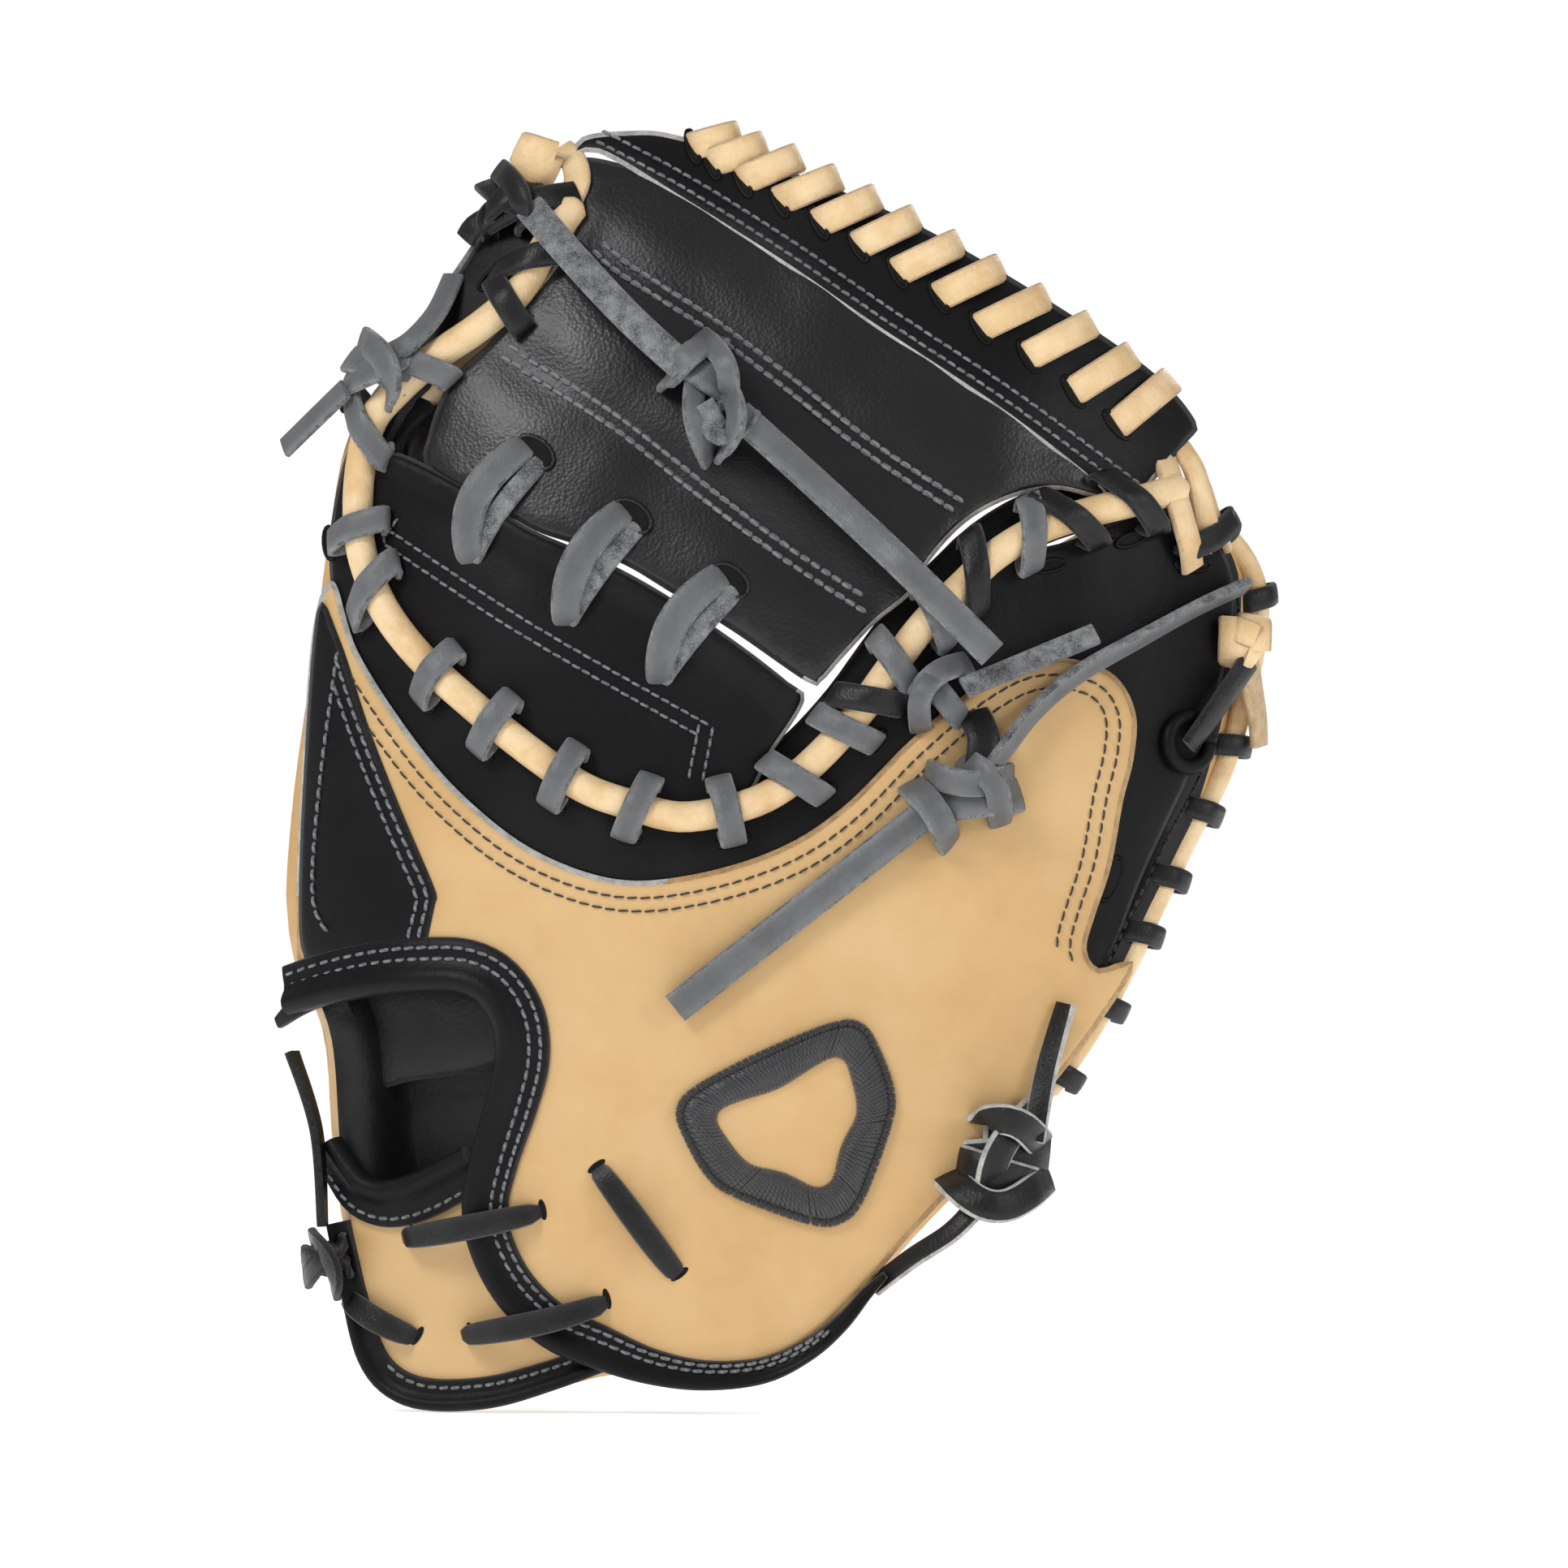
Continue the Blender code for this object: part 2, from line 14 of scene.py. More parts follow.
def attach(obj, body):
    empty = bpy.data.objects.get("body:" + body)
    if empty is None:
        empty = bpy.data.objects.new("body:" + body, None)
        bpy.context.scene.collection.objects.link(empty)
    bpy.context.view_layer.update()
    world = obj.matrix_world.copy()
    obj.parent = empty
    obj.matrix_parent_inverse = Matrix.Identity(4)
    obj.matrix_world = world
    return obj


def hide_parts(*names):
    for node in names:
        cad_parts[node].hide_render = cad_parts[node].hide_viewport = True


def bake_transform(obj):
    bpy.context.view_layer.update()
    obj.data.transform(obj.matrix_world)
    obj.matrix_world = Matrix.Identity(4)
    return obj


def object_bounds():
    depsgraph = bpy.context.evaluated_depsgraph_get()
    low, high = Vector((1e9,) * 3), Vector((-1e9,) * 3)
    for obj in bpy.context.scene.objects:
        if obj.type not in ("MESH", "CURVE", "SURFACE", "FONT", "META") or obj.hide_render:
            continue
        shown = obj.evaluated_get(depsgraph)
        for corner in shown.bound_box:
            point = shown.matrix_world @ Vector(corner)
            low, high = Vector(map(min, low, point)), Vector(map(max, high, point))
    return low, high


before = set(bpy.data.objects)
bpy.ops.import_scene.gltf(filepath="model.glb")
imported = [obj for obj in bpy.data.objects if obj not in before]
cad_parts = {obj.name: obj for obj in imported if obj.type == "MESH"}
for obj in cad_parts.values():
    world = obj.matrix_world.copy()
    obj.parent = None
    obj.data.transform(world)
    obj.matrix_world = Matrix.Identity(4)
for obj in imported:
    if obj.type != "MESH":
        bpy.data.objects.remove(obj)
CAD_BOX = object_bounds()

MM = 0.001
SHIFT = np.array([-0.1, -27.7, 0.0])  # from outline coordinates to the room's, as in the CAD
TOWARDS_VIEWER = np.array([0.0, -1.0, 0.0])

# The back surface and the padded body's depth, as in the CAD.
MID_X, MID_Z = -5.0, 140.0
HALF_WIDTH, RISE, DROP = 118.0, 168.0, 140.0
SIDE_CURL, TOP_CURL, HEEL_CURL = 40.0, 40.0, 12.0
UNDULATIONS = [(0.55, 13.1, 19.7, 0.0), (0.4, 8.3, -27.1, 1.3), (0.3, 31.0, 7.9, 0.4)]
CORE_DEPTH, RIM_DEPTH, RIM_REACH = 33.0, 45.0, 28.0
EDGE_ROUND, EDGE_SHARE, HEEL_SHARE = 18.0, 0.25, 0.4
HEEL_FROM, HEEL_TO = 50.0, 10.0
HAND_DEPTH = 20.0  # of the space for the hand, between the back and the lining

# Heights outside the back surface: (bottom, top).
COLLAR = (0.0, 1.7)
SHELL = (2.0, 4.4)
OVERLAY = (4.4, 6.0)
WEB = (-0.6, 2.0)
WEB_BAND = (2.0, 3.8)
STRAP = (-0.6, 1.9)
BACKING = (-4.6, -3.0)
TONGUE = (-12.0, -10.0)
HAND_LINING = (-21.0, -19.4)

ROLL_HEIGHT, ROLL_RADIUS = 4.6, 3.7
RIM_HEIGHT, RIM_RADIUS = -3.0, 2.7
LACE_THICK = 1.7
TAIL_THICK = 2.1
CORD_LEAST = 0.03  # metres; a shorter tail isn't a cord

EDGE_LINE = 0.25  # share of a leather's thickness at which its outermost line lies
EDGE_DROP = 0.4  # how much lower its grain side is at the cut
EDGE_ROUNDING = 1.0  # width over which the grain side rises from there
SOFT_CLEAR, CELL_CLEAR = 0.85, 0.45  # shares of that width and of a grid cell kept free of other points
STITCH_RISE, STITCH_DIP, STITCH_SLANT = 0.35, -0.45, 0.06
STITCH_FLATNESS = 0.75
LACE_ARCH = 0.45  # how flat on top a bowed lace is
WRAP_FROM, WRAP_TO = -40, 215  # degrees round a roll that a wrap covers
HOLE_SIDES = 16
LACE_SINK = 2.6  # depth of a lace's ends below its holes on the back
POCKET_SINK, POCKET_BOW = 1.4, 2.4  # the same on the pocket's side, and the height of its laces
SHARP_FROM = math.radians(50)
PUCKER = 0.55  # radius of the lip round a lace hole

# The fold: pieces nearer than FOLD_FROM stay with the fingers, those beyond FOLD_TO go with the thumb.
FOLD_FROM, FOLD_TO = -38.0, -84.0

BODY_OUTLINE = [
    (86, 219), (103, 215), (111, 200), (108, 175), (101, 149), (92, 126), (81, 103), (66, 83),
    (49, 64), (32, 46), (17, 29), (2, 16), (-20, 9), (-40, 10.5), (-57, 7), (-75, 5), (-93, 10), (-102, 30),
    (-107, 60), (-109.5, 90), (-116, 108), (-117, 125), (-115, 150), (-110, 185), (-106, 215), (-101, 238),
    (-86, 260), (-71, 285), (-62, 296), (-50, 288), (-53, 268), (-66, 248), (-79, 232), (-84, 213),
    (-79, 195), (-66, 176), (-48, 158), (-28, 146), (-5, 150), (14, 166), (30, 186), (48, 200),
    (68, 209)]
RING = [
    (-50, 293), (-57, 283), (-64, 271), (-73.5, 262.5), (-84.5, 255), (-93.5, 247), (-99.5, 240),
    (-102, 231), (-103, 220), (-102, 208), (-97, 195), (-88, 183), (-75, 171), (-60, 159),
    (-48, 151), (-37, 147), (-25, 144), (-12, 146), (-2, 150), (8, 158), (18, 169), (26, 180),
    (34, 190.5), (44, 200.5), (51, 207), (62, 213.5), (76, 218), (88, 221), (97, 224)]


# ---------------------------------------------------------------- curves and surfaces

def smooth(points, closed=False, spacing=2.0):
    """Points about spacing apart on a Catmull-Rom curve through the given ones, in any dimension."""
    given = np.array(points, float)
    count = len(given)
    line = []
    for i in range(count if closed else count - 1):
        picks = [(i + k) % count if closed else min(max(i + k, 0), count - 1) for k in (-1, 0, 1, 2)]
        a, b, c, d = given[picks]
        steps = max(1, round(np.linalg.norm(c - b) / spacing))
        t = (np.arange(steps) / steps)[:, None]
        line.append(0.5 * (2 * b + (c - a) * t + (2 * a - 5 * b + 4 * c - d) * t ** 2
                           + (3 * b - a - 3 * c + d) * t ** 3))
    if not closed:
        line.append(given[-1:])
    return np.vstack(line)


def unit(vectors):
    return vectors / np.maximum(np.linalg.norm(vectors, axis=-1, keepdims=True), 1e-9)


def tangents(line, closed=False):
    if closed:
        return unit(np.roll(line, -1, 0) - np.roll(line, 1, 0))
    return unit(np.gradient(line, axis=0))


def offset(line, distance, closed=False):
    """A flat line moved to its left."""
    along = tangents(line, closed)
    return line + distance * np.column_stack([-along[:, 1], along[:, 0]])


def row(points, distance=0.0, spacing=2.0):
    """A smooth line through points, moved to its left."""
    return offset(smooth(points, False, spacing), distance)


def even(line, pitch):
    """Points exactly pitch apart along a line."""
    runs = np.linalg.norm(np.diff(line, axis=0), axis=1)
    total = np.concatenate([[0], np.cumsum(runs)])
    spots = np.arange(0, total[-1], pitch)
    return np.column_stack([np.interp(spots, total, values) for values in line.T])


def columns(flat):
    """The x and z of one flat point or of many."""
    return np.atleast_2d(np.asarray(flat, float)).T


def reach(flat, edge):
    """Distance from points to a closed outline."""
    nearest = np.full(len(flat), 1e9)
    for a, b in zip(edge, np.roll(edge, -1, 0)):
        along = b - a
        share = np.clip((flat - a) @ along / max(along @ along, 1e-9), 0, 1)
        nearest = np.minimum(nearest, np.hypot(*(flat - a - share[:, None] * along).T))
    return nearest


def from_line(flat, line):
    """Distance from points to the nearest point of a line."""
    return np.min([np.hypot(*(flat - spot).T) for spot in line], axis=0)


def inside(flat, edge):
    x, z = columns(flat)
    found = np.zeros(len(x), bool)
    for a, b in zip(edge, np.roll(edge, -1, 0)):
        crosses = (a[1] > z) != (b[1] > z)
        rise = b[1] - a[1] if b[1] != a[1] else 1e-9
        found ^= crosses & (x < a[0] + (z - a[1]) * (b[0] - a[0]) / rise)
    return found


def ramp(values, start, end):
    """0 at start, 1 at end, straight between them."""
    return np.clip((values - start) / (end - start), 0, 1)


def crown(near, wide):
    """A quarter round, from 0 at the edge to 1 at that distance from it."""
    return np.sqrt(1 - (1 - np.clip(near / wide, 0, 1)) ** 2)


def arched(t, power=1.0):
    """0 at both ends of t, 1 in the middle; a small power makes it flat on top."""
    return np.maximum(np.sin(math.pi * t), 0) ** power


BODY_EDGE = smooth(BODY_OUTLINE, True, 8)


def back(flat):
    """Y of the back surface; it undulates a little, by (depth, run in x, run in z, phase)."""
    x, z = columns(flat)
    y = SIDE_CURL * np.abs((x - MID_X) / HALF_WIDTH) ** 3
    y += TOP_CURL * (np.maximum(z - MID_Z, 0) / RISE) ** 2.5
    y += HEEL_CURL * (np.maximum(MID_Z - z, 0) / DROP) ** 3
    for depth, run_x, run_z, phase in UNDULATIONS:
        y += depth * np.sin(x / run_x + z / run_z + phase)
    return y


def on_pocket(flat, height):
    """Points a height in front of the pocket's leather."""
    x, z = columns(flat)
    near = reach(flat, BODY_EDGE)
    depth = CORE_DEPTH + (RIM_DEPTH - CORE_DEPTH) * np.exp(-((near / RIM_REACH) ** 2))
    share = EDGE_SHARE + HEEL_SHARE * ramp(z, HEEL_FROM, HEEL_TO)
    y = back(flat) + depth * (share + (1 - share) * crown(near, EDGE_ROUND))
    return np.column_stack([x, y + height, z])


def out(flat, height):
    """Points straight towards the viewer from the back surface by a height."""
    x, z = columns(flat)
    return np.column_stack([x, back(flat) - height, z])


def normals(flat):
    """Unit normals of the back surface, pointing out of it."""
    flat = np.asarray(flat, float)
    slopes = [(back(flat + step) - back(flat - step)) / 2 for step in ([1, 0], [0, 1])]
    return unit(np.column_stack([slopes[0], -np.ones_like(slopes[0]), slopes[1]]))


def lifted(flat, heights):
    """Points outside the back surface by their heights, along its normal."""
    return out(flat, 0) + normals(flat) * heights[:, None]


# ---------------------------------------------------------------- materials

def feed(tree, node, inputs):
    """Link or set a node's inputs; a colour is given as three numbers."""
    for key, value in inputs.items():
        if isinstance(value, bpy.types.NodeSocket):
            tree.links.new(value, node.inputs[key])
        elif node.inputs[key].type == "RGBA":
            node.inputs[key].default_value = (*value, 1)
        else:
            node.inputs[key].default_value = value


def add(tree, kind, inputs, output=0, **settings):
    """An output of a new node."""
    node = tree.nodes.new("ShaderNode" + kind)
    for key, value in settings.items():
        setattr(node, key, value)
    feed(tree, node, inputs)
    return node.outputs[output]


def start_look(name):
    """A new material, its tree and the point on the object that its patterns use."""
    made = bpy.data.materials.new(name)
    made.use_nodes = True
    return made, made.node_tree, add(made.node_tree, "TexCoord", {}, "Object")


def mixed(tree, share, first, second):
    """A blend of two colours."""
    return add(tree, "Mix", {0: share, 6: first, 7: second}, 2, data_type="RGBA")


def ranged(tree, value, low, high, to_low, to_high):
    """A value moved from one range to another."""
    return add(tree, "MapRange", {0: value, 1: low, 2: high, 3: to_low, 4: to_high})


def noise_texture(tree, where, size, detail, rough):
    """Noise with features of that size in millimetres."""
    inputs = {"Scale": 1 / (size * MM), "Detail": detail, "Roughness": rough, "Vector": where}
    return add(tree, "TexNoise", inputs)


def bumped(tree, height, depth, before=None):
    """A bump of that depth in millimetres, on top of the one before it."""
    inputs = {"Strength": 1.0, "Distance": depth * MM, "Height": height}
    if before is not None:
        inputs["Normal"] = before
    return add(tree, "Bump", inputs)


def leather(name, base, light, dark, worn, roughness, grain, wrinkle, pores, specular, mottle=35.0):
    """Hide: mottled colour, pores, cell-like grain, creases, and rubbed edges. Grain and wrinkle are
    sizes and depths in millimetres, mottle is a size."""
    made, tree, where = start_look(name)
    broad = noise_texture(tree, where, mottle, 4, 0.6)
    fine = noise_texture(tree, where, 0.9, 2, 0.7)
    cells = add(tree, "TexVoronoi", {"Scale": 1 / (grain[0] * MM), "Vector": where}, "Distance")
    stretched = add(tree, "Mapping", {0: where, "Scale": (1.0, 1.0, 0.55)})
    creases = noise_texture(tree, stretched, wrinkle[0], 5, 0.62)
    tripled = add(tree, "Math", {0: creases, 1: 3.0}, operation="MULTIPLY")
    ridges = add(tree, "Math", {0: tripled, 1: 0.5}, operation="PINGPONG")
    colour = mixed(tree, ranged(tree, broad, 0.35, 0.52, 0, 1), dark, base)
    colour = mixed(tree, ranged(tree, broad, 0.50, 0.68, 0, 0.8), colour, light)
    colour = mixed(tree, ranged(tree, fine, 0.55, 0.80, 0, pores), colour, dark)
    edge = add(tree, "Attribute", {}, "Fac", attribute_name="wear")
    rubbed = add(tree, "Math", {0: edge, 1: ranged(tree, fine, 0.35, 0.65, 0.35, 1.0)},
                 operation="MULTIPLY")
    feed(tree, tree.nodes["Principled BSDF"], {
        "Base Color": mixed(tree, rubbed, colour, worn),
        "Roughness": ranged(tree, broad, 0.3, 0.7, roughness + 0.06, roughness - 0.06),
        "Normal": bumped(tree, cells, grain[1], bumped(tree, ridges, wrinkle[1])),
        "Specular IOR Level": specular})
    return made


def suede(name, base, light, dark, fibre=(0.35, 0.15)):
    """Raw cut leather or felt: fibrous, matt, with speckle."""
    made, tree, where = start_look(name)
    broad = noise_texture(tree, where, 3.5, 4, 0.65)
    fibres = noise_texture(tree, where, fibre[0], 3, 0.8)
    colour = mixed(tree, ranged(tree, broad, 0.35, 0.65, 0, 1), dark, base)
    feed(tree, tree.nodes["Principled BSDF"], {
        "Base Color": mixed(tree, ranged(tree, fibres, 0.50, 0.75, 0, 1), colour, light),
        "Normal": bumped(tree, fibres, fibre[1]),
        "Roughness": ranged(tree, fibres, 0.3, 0.7, 0.82, 0.98),
        "Specular IOR Level": 0.15, "Sheen Weight": 0.25})
    return made


def thread(name, base, light, roughness=0.55, twist=0.45, anisotropy=0.0):
    """Sewing or satin thread: fine twist lines, slight sheen."""
    made, tree, where = start_look(name)
    lines = add(tree, "TexWave", {"Scale": 1 / (twist * 6 * MM), "Distortion": 2, "Vector": where}, "Fac",
                bands_direction="DIAGONAL")
    spots = noise_texture(tree, where, 2.5, 2, 0.6)
    colour = mixed(tree, lines, base, light)
    feed(tree, tree.nodes["Principled BSDF"], {
        "Base Color": mixed(tree, ranged(tree, spots, 0.4, 0.7, 0, 0.5), colour, base),
        "Normal": bumped(tree, lines, 0.08),
        "Roughness": ranged(tree, spots, 0.3, 0.7, roughness - 0.08, roughness + 0.08),
        "Sheen Weight": 0.3, "Anisotropic": anisotropy})
    return made


def glowing(name, colour, roughness, glow):
    """The floor: nearly plain and lit a little from inside, so that it stays white."""
    made, tree, where = start_look(name)
    pale = tuple(min(1.0, c * 1.02) for c in colour)
    feed(tree, tree.nodes["Principled BSDF"], {
        "Base Color": mixed(tree, noise_texture(tree, where, 400, 2, 0.5), colour, pale),
        "Roughness": roughness, "Emission Color": (1, 1, 1), "Emission Strength": glow,
        "Specular IOR Level": 0.1})
    return made


TAN = leather("tan_hide", (0.62, 0.405, 0.185), (0.65, 0.44, 0.215), (0.575, 0.36, 0.155),
              (0.50, 0.27, 0.10), 0.50, (0.9, 0.03), (9.0, 0.08), 0.16, 0.30)
POCKET = leather("pocket_hide", (0.59, 0.38, 0.165), (0.62, 0.405, 0.185), (0.555, 0.345, 0.143),
                 (0.46, 0.24, 0.09), 0.50, (1.0, 0.04), (12.0, 0.2), 0.2, 0.33)
BLACK = leather("black_hide", (0.0050, 0.0050, 0.0055), (0.008, 0.008, 0.009), (0.003, 0.003, 0.0034),
                (0.016, 0.016, 0.018), 0.46, (0.8, 0.03), (8.0, 0.10), 0.2, 0.15)
PEBBLED = leather("pebbled_black_hide", (0.0065, 0.0065, 0.0070), (0.010, 0.010, 0.011),
                  (0.0030, 0.0030, 0.0034), (0.020, 0.020, 0.022), 0.37, (0.9, 0.06), (9.0, 0.05),
                  0.15, 0.42)
LINING = leather("lining_hide", (0.010, 0.010, 0.011), (0.014, 0.014, 0.016), (0.007, 0.007, 0.008),
                 (0.03, 0.03, 0.033), 0.50, (0.9, 0.05), (12.0, 0.2), 0.2, 0.30)
GREY_LACE = leather("grey_lace", (0.112, 0.116, 0.123), (0.132, 0.137, 0.145), (0.096, 0.100, 0.106),
                    (0.20, 0.20, 0.205), 0.44, (0.6, 0.04), (3.0, 0.10), 0.35, 0.40, mottle=9)
BLACK_LACE = leather("black_lace", (0.0065, 0.0065, 0.007), (0.012, 0.012, 0.013),
                     (0.004, 0.004, 0.0045), (0.03, 0.03, 0.032), 0.40, (0.6, 0.05), (2.5, 0.10), 0.3,
                     0.30, mottle=9)
CREAM = leather("cream_lace", (0.77, 0.56, 0.315), (0.84, 0.65, 0.40), (0.67, 0.45, 0.22),
                (0.60, 0.38, 0.18), 0.46, (0.8, 0.07), (2.6, 0.13), 0.2, 0.34, mottle=12)
PALE_CUT = suede("pale_cut_edge", (0.50, 0.49, 0.46), (0.72, 0.71, 0.68), (0.26, 0.26, 0.25))
GREY_CUT = suede("grey_cut_edge", (0.21, 0.22, 0.225), (0.42, 0.43, 0.44), (0.05, 0.052, 0.056))
BLACK_CUT = suede("black_cut_edge", (0.016, 0.016, 0.018), (0.06, 0.062, 0.066), (0.006, 0.006, 0.007))
TAN_CUT = suede("tan_cut_edge", (0.50, 0.32, 0.14), (0.66, 0.46, 0.24), (0.30, 0.17, 0.07))
CREAM_CUT = suede("cream_cut_edge", (0.60, 0.43, 0.25), (0.78, 0.62, 0.42), (0.42, 0.28, 0.15))
FELT = suede("wool_felt", (0.62, 0.60, 0.54), (0.76, 0.74, 0.69), (0.44, 0.42, 0.38), (0.9, 0.4))
GREY_THREAD = thread("grey_thread", (0.085, 0.090, 0.098), (0.21, 0.22, 0.235))
DARK_THREAD = thread("dark_thread", (0.012, 0.007, 0.004), (0.030, 0.020, 0.013))
TAN_THREAD = thread("tan_thread", (0.45, 0.28, 0.12), (0.70, 0.50, 0.28))
SATIN = thread("satin_thread", (0.011, 0.011, 0.012), (0.045, 0.046, 0.050), 0.34, 0.3, 0.6)
BORDER = thread("border_thread", (0.006, 0.006, 0.007), (0.018, 0.018, 0.020), 0.4, 0.3)
# painted shade: the near-black discs of the lace holes stand for the shadow inside them
HOLE_SHADE = suede("lace_hole", (0.004, 0.004, 0.004), (0.010, 0.010, 0.010), (0.002, 0.002, 0.002))
LEATHERS = {  # kind: look, look of its cut edges, slot
    "grey": (GREY_LACE, GREY_CUT, "grey_lace"),
    "black": (BLACK_LACE, BLACK_CUT, "black_lace"),
    "pale": (BLACK_LACE, PALE_CUT, "black_lace"),
    "cream": (CREAM, CREAM_CUT, "cream_lace"),
    "trim": (BLACK, BLACK_CUT, "black_leather"),
    "panel": (PEBBLED, BLACK_CUT, "black_leather"),
    "shell": (TAN, PALE_CUT, "tan_leather"),
    "strap": (TAN, TAN_CUT, "tan_leather"),
    "lining": (LINING, BLACK_CUT, "lining"),
}


# ---------------------------------------------------------------- meshes

def add_object(name, data):
    made = bpy.data.objects.new(name, data)
    bpy.context.scene.collection.objects.link(made)
    return made


def add_mesh(name, points, faces, looks, face_looks=None, wear=None, sharp=False):
    """A smoothly shaded mesh from outline coordinates in millimetres."""
    data = bpy.data.meshes.new(name)
    spots = (np.asarray(points, float) + SHIFT) * MM
    data.from_pydata([tuple(p) for p in spots], [], [tuple(int(i) for i in f) for f in faces])
    for made in looks:
        data.materials.append(made)
    if face_looks is not None:
        data.polygons.foreach_set("material_index", np.asarray(face_looks, np.int32))
    data.polygons.foreach_set("use_smooth", np.ones(len(data.polygons), bool))
    values = np.zeros(len(spots)) if wear is None else np.asarray(wear, float)
    data.attributes.new("wear", "FLOAT", "POINT").data.foreach_set("value", values.astype(np.float32))
    data.update()
    if sharp:
        data.set_sharp_from_angle(angle=SHARP_FROM)
    return add_object(name, data)


def place(piece, *nodes, slot=None, body=None):
    """Ride a finished piece on a body, by where it lies unless a body is named, or leave one that crosses
    the fold where it lies, and let it stand for its CAD nodes."""
    xs = [v.co.x / MM - SHIFT[0] for v in piece.data.vertices]
    if body:
        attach(piece, body)
    elif min(xs) >= FOLD_FROM:
        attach(piece, "finger_side")
    elif max(xs) <= FOLD_TO:
        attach(piece, "thumb_side")
    else:
        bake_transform(piece)
    if nodes:
        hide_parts(*nodes)


def triangulate(ring, extra):
    """Points and triangles inside a closed ring, with extra points, and where the ring's points went."""
    spots = np.vstack([ring, extra])
    count = len(ring)
    rim = [(i, (i + 1) % count) for i in range(count)]
    flat = geometry.delaunay_2d_cdt([Vector(p) for p in spots], rim, [], 1, 1e-4)
    first = {old: new for new, olds in enumerate(flat[3]) for old in olds}
    return np.array([tuple(p) for p in flat[0]]), list(flat[2]), np.array([first[i] for i in range(count)])


def grid_inside(edge, clear, cell):
    """A grid of points inside an outline, at least clear away from it."""
    low, high = edge.min(0), edge.max(0)
    rows = []
    for number in range(int((high[1] - low[1]) / cell) + 1):
        x = np.arange(low[0] + cell * 0.5 * (number % 2), high[0], cell)
        rows.append(np.column_stack([x, np.full(len(x), low[1] + number * cell)]))
    spots = np.vstack(rows)
    spots = spots[inside(spots, edge)]
    return spots[reach(spots, edge) > clear]


def counterclockwise(edge):
    x, z = edge.T
    area = np.sum(x * np.roll(z, -1) - np.roll(x, -1) * z)
    return edge if area > 0 else edge[::-1]


def between(first, second):
    """Faces between two closed rows of vertex numbers."""
    count = len(first)
    return [(first[k], first[(k + 1) % count], second[(k + 1) % count], second[k]) for k in range(count)]


def hide(name, kind, outline, layer, *nodes, cell=4.0, spacing=2.0, cut_width=0.8, wave=(25.0, 0.25),
         wear=0.5, wear_reach=2.0, lift=None, other=None):
    """A leather piece of the back. Its cut edge slopes out from the grain side. Wave is the size and depth
    of its unevenness; other is another look for its cut and where that applies."""
    edge = counterclockwise(smooth(outline, True, spacing))
    soft_width = cut_width + EDGE_ROUNDING
    soft = offset(edge, soft_width, True)
    soft = soft[inside(soft, edge) & (reach(soft, edge) > SOFT_CLEAR * soft_width)]
    inner = grid_inside(edge, soft_width + CELL_CLEAR * cell, cell)
    flat, faces, ids = triangulate(offset(edge, cut_width, True), np.vstack([soft, inner]))
    near = reach(flat, edge)
    rise, rim_rise = (lift(flat), lift(edge)) if lift else (0.0, 0.0)
    top = layer[1] - EDGE_DROP * (1 - ramp(near, cut_width, soft_width)) + rise
    top_points = out(flat, top)
    top_points[:, 1] -= [wave[1] * noise.noise(Vector(p) / wave[0]) for p in top_points]
    rim = out(edge, layer[0] + EDGE_LINE * (layer[1] - layer[0]) + rim_rise)
    points = np.vstack([top_points, out(flat, layer[0] + rise), rim])
    count = len(flat)
    rim_ids = 2 * count + np.arange(len(edge))
    made = faces + [tuple(count + i for i in face[::-1]) for face in faces]
    cuts = [2 if other and other[1](*spot) else 1 for spot in edge]
    kinds = [0] * len(made) + cuts * 2
    made += between(rim_ids, ids) + between(count + ids, rim_ids)
    worn = wear * np.exp(-np.maximum(near - cut_width, 0) / wear_reach)
    worn = np.concatenate([worn, worn, np.ones(len(edge))])
    *looks, slot = LEATHERS[kind]
    if other:
        looks.append(other[0])
    place(add_mesh(name, points, made, looks, kinds, worn, sharp=True), *nodes, slot=slot)


LACE_PROFILE = np.array([
    (-0.5, -0.22), (-0.43, -0.5), (-0.15, -0.5), (0.15, -0.5), (0.43, -0.5), (0.5, -0.22),
    (0.5, 0.22), (0.43, 0.5), (0.15, 0.58), (-0.15, 0.58), (-0.43, 0.5), (-0.5, 0.22)])
LACE_CUTS = {0, 4, 5, 6, 10, 11}
RAW_BACK_CUTS = {0, 1, 2, 3, 4, 5, 6, 10, 11}
RAW_FACE_CUTS = {0, 4, 5, 6, 7, 8, 9, 10, 11}


def sweep(strips, profile, cuts=()):
    """Strips of (points, sides, width, thickness) with that cross-section; cuts are its raw faces."""
    size = len(profile)
    all_points, faces, kinds, wear = [], [], [], []
    start = 0
    for points, sides, *sizes in strips:
        count = len(points)
        along = tangents(points)
        side = unit(sides - np.sum(sides * along, axis=1, keepdims=True) * along)
        above = np.cross(side, along)
        wide, thick = (np.broadcast_to(values, count)[:, None, None] for values in sizes)
        ring = points[:, None] + side[:, None] * profile[:, :1] * wide
        all_points.append((ring + above[:, None] * profile[:, 1:] * thick).reshape(-1, 3))
        numbers = start + np.arange(count * size).reshape(count, size)
        for lower, upper in zip(numbers[:-1], numbers[1:]):
            faces += between(lower, upper)
        faces += [tuple(numbers[0][::-1]), tuple(numbers[-1])]
        kinds += [int(k in cuts) for k in range(size)] * (count - 1) + [1, 1]
        wear.append(np.tile(np.abs(profile[:, 0]) > 0.4, count) * 0.6)
        start += count * size
    return np.vstack(all_points), faces, kinds, np.concatenate(wear)


def lace_mesh(name, strips, look, cut, cuts=LACE_CUTS, profile=LACE_PROFILE):
    points, faces, kinds, wear = sweep(strips, profile, cuts)
    return add_mesh(name, points, faces, [look, cut], kinds, wear, sharp=True)


